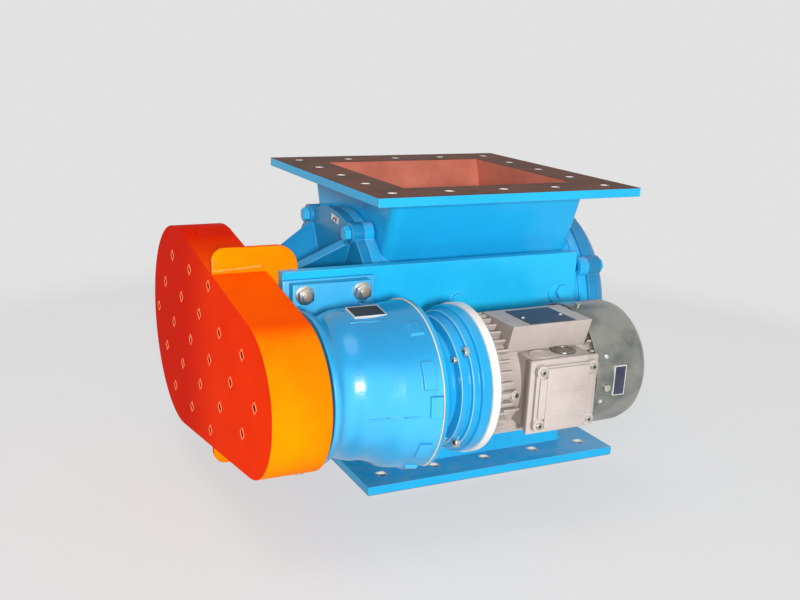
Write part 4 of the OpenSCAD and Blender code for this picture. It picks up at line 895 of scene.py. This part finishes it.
arrow = bmesh.new()
bent_arrow(arrow, (-182.0, -20, 336.0), 7.0, 2.2, 30, 95)
finished("rotation_arrow", arrow, [arrow_red], "housing")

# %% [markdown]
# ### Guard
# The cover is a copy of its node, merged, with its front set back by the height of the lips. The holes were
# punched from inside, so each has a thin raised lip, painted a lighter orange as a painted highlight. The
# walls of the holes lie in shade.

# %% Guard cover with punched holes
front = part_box("guard_cover")[0].x
lip = 0.8 * mm
# square holes that stand on a corner, in rows of which every other one is shifted by half a pitch
hole_pitch, row_pitch, first_hole = 88, 47, 22
hole_corner = 6.364
lip_reach, lip_width = 7.6, 0.87


def guard_skin():
    shape = merged_copy("guard_cover")
    for vert in shape.verts:
        if vert.co.x < front + 0.1 * mm:
            vert.co.x += lip
    corners = [vert.co.copy() for vert in shape.verts if vert.co.x < front + lip + 0.1 * mm]
    holes = []
    for row in range(-2, 3):
        for k in range(-1, 7):
            y = (first_hole - hole_pitch * k + hole_pitch / 2 * (row % 2)) * mm
            z = rotor_axis.z + row_pitch * row * mm
            if any(abs(c.y - y) < 0.2 * mm and abs(c.z - z - hole_corner * mm) < 0.2 * mm for c in corners):
                holes.append((y, z))
    for face in shape.faces:
        at = face.calc_center_median()
        if at.x < front + 4 * mm and abs(face.normal.x) < 0.1 and any(
                abs(at.y - y) + abs(at.z - z) < 7 * mm for y, z in holes):
            face.material_index = 1
    return shape, holes


cover, holes = guard_skin()
for y, z in holes:
    place = Matrix.Translation((front + lip, y, z)) @ facing["-x"]
    made = bmesh.ops.create_circle(cover, cap_ends=True, segments=4, radius=lip_reach * mm, matrix=place)
    face = made["verts"][0].link_faces[0]
    ring = bmesh.ops.inset_region(cover, faces=[face], thickness=lip_width * mm, use_boundary=True)["faces"]
    bmesh.ops.delete(cover, geom=[face], context="FACES")
    raised = verts_in(bmesh.ops.extrude_face_region(cover, geom=ring))
    bmesh.ops.translate(cover, vec=(-lip, 0, 0), verts=raised)
    # the lips take a lighter orange, a painted highlight
    for item in faces_of(raised):
        item.material_index = 2
print("guard holes", len(holes))
finished("guard_skin", cover, [orange, shade_red, lip_highlight_orange], "housing", ["guard_cover"],
         smooth=25)

# %% Guard straps, drawn out to the rim that they are welded to
straps = merged_copy("guard_straps")
strap_low, strap_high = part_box("guard_straps")
strap_start, strap_end = -402 * mm, -293 * mm
share = (strap_end - strap_start) / (strap_high.x - strap_low.x)
for vert in straps.verts:
    vert.co.x = strap_start + (vert.co.x - strap_low.x) * share
finished("welded_straps", straps, [orange], "housing", ["guard_straps"])

# %% Weld beads and spatter
def drop(shape, at, radius):
    bmesh.ops.create_icosphere(shape, subdivisions=1, radius=radius, matrix=Matrix.Translation(at))


def bead(shape, start, end, radius, ripples, draw):
    """A weld drawn as overlapping drops."""
    start, end = Vector(start) * mm, Vector(end) * mm
    for i in range(ripples):
        at = start.lerp(end, i / (ripples - 1)) + Vector((0, 0, draw.uniform(-0.3, 0.3) * mm))
        drop(shape, at, radius * mm * draw.uniform(0.85, 1.15))


draw = random.Random(7)
seam = -168.6
welds = bmesh.new()
bead(welds, (-400, seam, 314.6), (-341, seam, 317.4), 1.8, 38, draw)
bead(welds, (-400.5, seam, 316), (-400.5, seam, 328), 1.5, 9, draw)
finished("weld_beads", welds, [orange_bead], "housing", smooth=80)
spatter = bmesh.new()
for i in range(20):
    middle_x = -394 if i % 2 else -347
    at = Vector((draw.gauss(middle_x, 4.5), -168.3, 320 + draw.uniform(-4, 6))) * mm
    at.x = max(at.x, -401 * mm)
    drop(spatter, at, draw.uniform(0.4, 1.1) * mm)
finished("weld_spatter", spatter, [orange_bead], "housing", smooth=80)

# %% Bare plate on the guard's top
top_plate = bmesh.new()
# where the plate sits on the guard's round end: its angle above the front and its distance from the rotor
top_angle, top_reach = 71, 138.0
rise = math.radians(top_angle)
place = rotor_axis / mm + Vector((-360, -top_reach * math.cos(rise), top_reach * math.sin(rise)))
plate(top_plate, 48, 38, 2.4, 2.0, seat_at(place, 90 - top_angle))
finished("guard_top_plate", top_plate, [orange, shade_orange], "housing")

# %% [markdown]
# ### Terminal box
# The lid is a raised panel with fine ridges between four round lobes that hold its screws. The box has a
# lip round its mouth. Of the two round openings on top, one is closed by a dark plug and the other is a
# blank in the casting.

# %% Lid with lobes, panel and ridges
lobes = [(x, z) for x in (-77, -7) for z in (160, 226)]
lid = bmesh.new()
block(lid, (-84, -396.5, 154), (-1, -391.8, 232), 1.5)
block(lid, (-71, -400.2, 156), (-12, -396, 230), 1.2)
block(lid, (-80, -399.0, 168), (-4, -396, 218), 1.2)
for x, z in lobes:
    round_piece(lid, (x, -391.8, z), "-y", 8.0, 6.8, round_off=1.2)
for z in (163, 167.5, 172, 199, 203):
    block(lid, (-66, -401.0, z), (-17, -400, z + 1.6), 0.4)
finished("ridged_lid", lid, [silver], "housing", ["terminal_lid"])
lid_heads = bmesh.new()
for x, z in lobes:
    head = round_piece(lid_heads, (x, -398.4, z), "-y", 4.4, 2.6, sides=20, round_off=0.8)
    sink(lid_heads, head, 1.6, 1.2, 1)
finished("lid_socket_screws", lid_heads, [zinc, socket_shade], "housing", ["lid_screws"])

# %% Box lip, top with blank and plug
box_top = 236.2
lip_frame = bmesh.new()
block(lip_frame, (-90, -391.9, 148), (5, -386.5, 238.5), 1.4)
block(lip_frame, (-87.5, -386, 150), (3.5, -380, 235.8), 1.4)
block(lip_frame, (-81.5, -385, 234.6), (1.5, -349, 236.4), 0.5)
blank = round_piece(lip_frame, (-60, -366, box_top), "+z", 15.5, 1.6, tip=14.5, sides=40, round_off=0.6)
sink(lip_frame, blank, 2.4, 0.9, 0)
finished("box_mouth", lip_frame, [silver], "housing")
plug = bmesh.new()
cap = round_piece(plug, (-26, -363, box_top), "+z", 15.0, 3.0, sides=40, round_off=0.9)
sink(plug, cap, 3.0, 1.0, 0)
finished("closing_plug", plug, [plug_metal], "housing", ["blanking_plugs"])

# %% Earth lug on the frame
lug = bmesh.new()
block(lug, (-114, -371.5, 188), (-93, -361, 196), 2.0)
round_piece(lug, (-96, -371, 192), "-y", 6.0, 3.0, round_off=0.8)
block(lug, (-108, -369.5, 170), (-86, -362, 173), 0.8)
finished("frame_lug", lug, [silver], "housing")
screw = bmesh.new()
head = round_piece(screw, (-96, -373.8, 192), "-y", 3.6, 2.0, sides=16, round_off=0.5)
sink(screw, head, 1.4, 1.0, 1)
finished("lug_screw", screw, [zinc, socket_shade], "housing")

# %% [markdown]
# ## Floor, backdrop and light
# A plain pale studio. The camera sees the same light grey on the floor and behind, and near the valve the
# floor is partly a plain diffuse sheet, so that it keeps the valve's soft shadow. Lamps stay at the level
# at which a colour renders about as written.

# %% Backdrop seen by the camera and in gloss
backdrop = 0.761
ambient = 0.42


def seen_directly(tree):
    path = tree.nodes.new("ShaderNodeLightPath").outputs
    either = math_node(tree, "MAXIMUM", path["Is Camera Ray"], path["Is Glossy Ray"])
    return math_node(tree, "MAXIMUM", either, path["Is Transmission Ray"])


def make_world(level):
    world = bpy.data.worlds.new("studio")
    world.use_nodes = True
    tree = world.node_tree
    light = tree.nodes["Background"].inputs
    light["Color"].default_value = (1, 1, 1, 1)
    extra = math_node(tree, "MULTIPLY", seen_directly(tree), backdrop - level)
    tree.links.new(math_node(tree, "ADD", extra, level), light["Strength"])
    scene.world = world


make_world(ambient)
print("world ready")

# %% Floor
floor_height = cad_low.z - 0.0005


def make_floor(reach=14, shadow_end=0.45, blend_end=1.3, least_glow=0.72):
    """Out to shadow_end the floor glows least; from there to blend_end it passes into the backdrop."""
    mesh = bpy.data.meshes.new("floor")
    shape = bmesh.new()
    bmesh.ops.create_circle(shape, cap_ends=True, radius=reach, segments=64)
    bmesh.ops.translate(shape, vec=(0, 0, floor_height), verts=shape.verts)
    shape.to_mesh(mesh)
    shape.free()
    floor = bpy.data.objects.new("floor", mesh)
    scene.collection.objects.link(floor)
    material = bpy.data.materials.new("pale floor")
    material.use_nodes = True
    tree = material.node_tree
    tree.nodes.remove(tree.nodes["Principled BSDF"])
    sheet = add(tree, "ShaderNodeBsdfDiffuse", Color=(0.86, 0.86, 0.86, 1))
    glow = add(tree, "ShaderNodeEmission", Color=(backdrop, backdrop, backdrop, 1), Strength=1.0)
    length = tree.nodes.new("ShaderNodeVectorMath")
    length.operation = "LENGTH"
    tree.links.new(coords(tree), length.inputs[0])
    far = ramp(tree, length.outputs["Value"], shadow_end, blend_end)
    share = math_node(tree, "MULTIPLY", math_node(tree, "MAXIMUM", far, least_glow), seen_directly(tree))
    blend = tree.nodes.new("ShaderNodeMixShader")
    for number, source in enumerate((share, sheet.outputs[0], glow.outputs[0])):
        tree.links.new(source, blend.inputs[number])
    tree.links.new(blend.outputs[0], tree.nodes["Material Output"].inputs["Surface"])
    mesh.materials.append(material)


make_floor()
print("floor at z", round(floor_height, 4))

# %% Lamps
def area_lamp(name, place, target, size, watts):
    data = bpy.data.lights.new(name, "AREA")
    data.shape = "DISK"
    data.size = size
    data.energy = watts
    lamp = bpy.data.objects.new(name, data)
    scene.collection.objects.link(lamp)
    lamp.location = place
    lamp.rotation_euler = (Vector(target) - Vector(place)).to_track_quat("-Z", "Y").to_euler()


centre = (cad_low + cad_high) / 2
area_lamp("key", centre + Vector((-1.10, -2.95, 0.75)), centre, size=0.35, watts=90)
area_lamp("top", centre + Vector((-0.9, -0.6, 2.6)), centre, size=1.5, watts=14)
print("lamps aimed at", [round(v, 3) for v in centre])

# %% [markdown]
# ## View transform
# The view transform stays Standard, so colours come out as written.

# %% Finish
scene.view_settings.view_transform = "Standard"
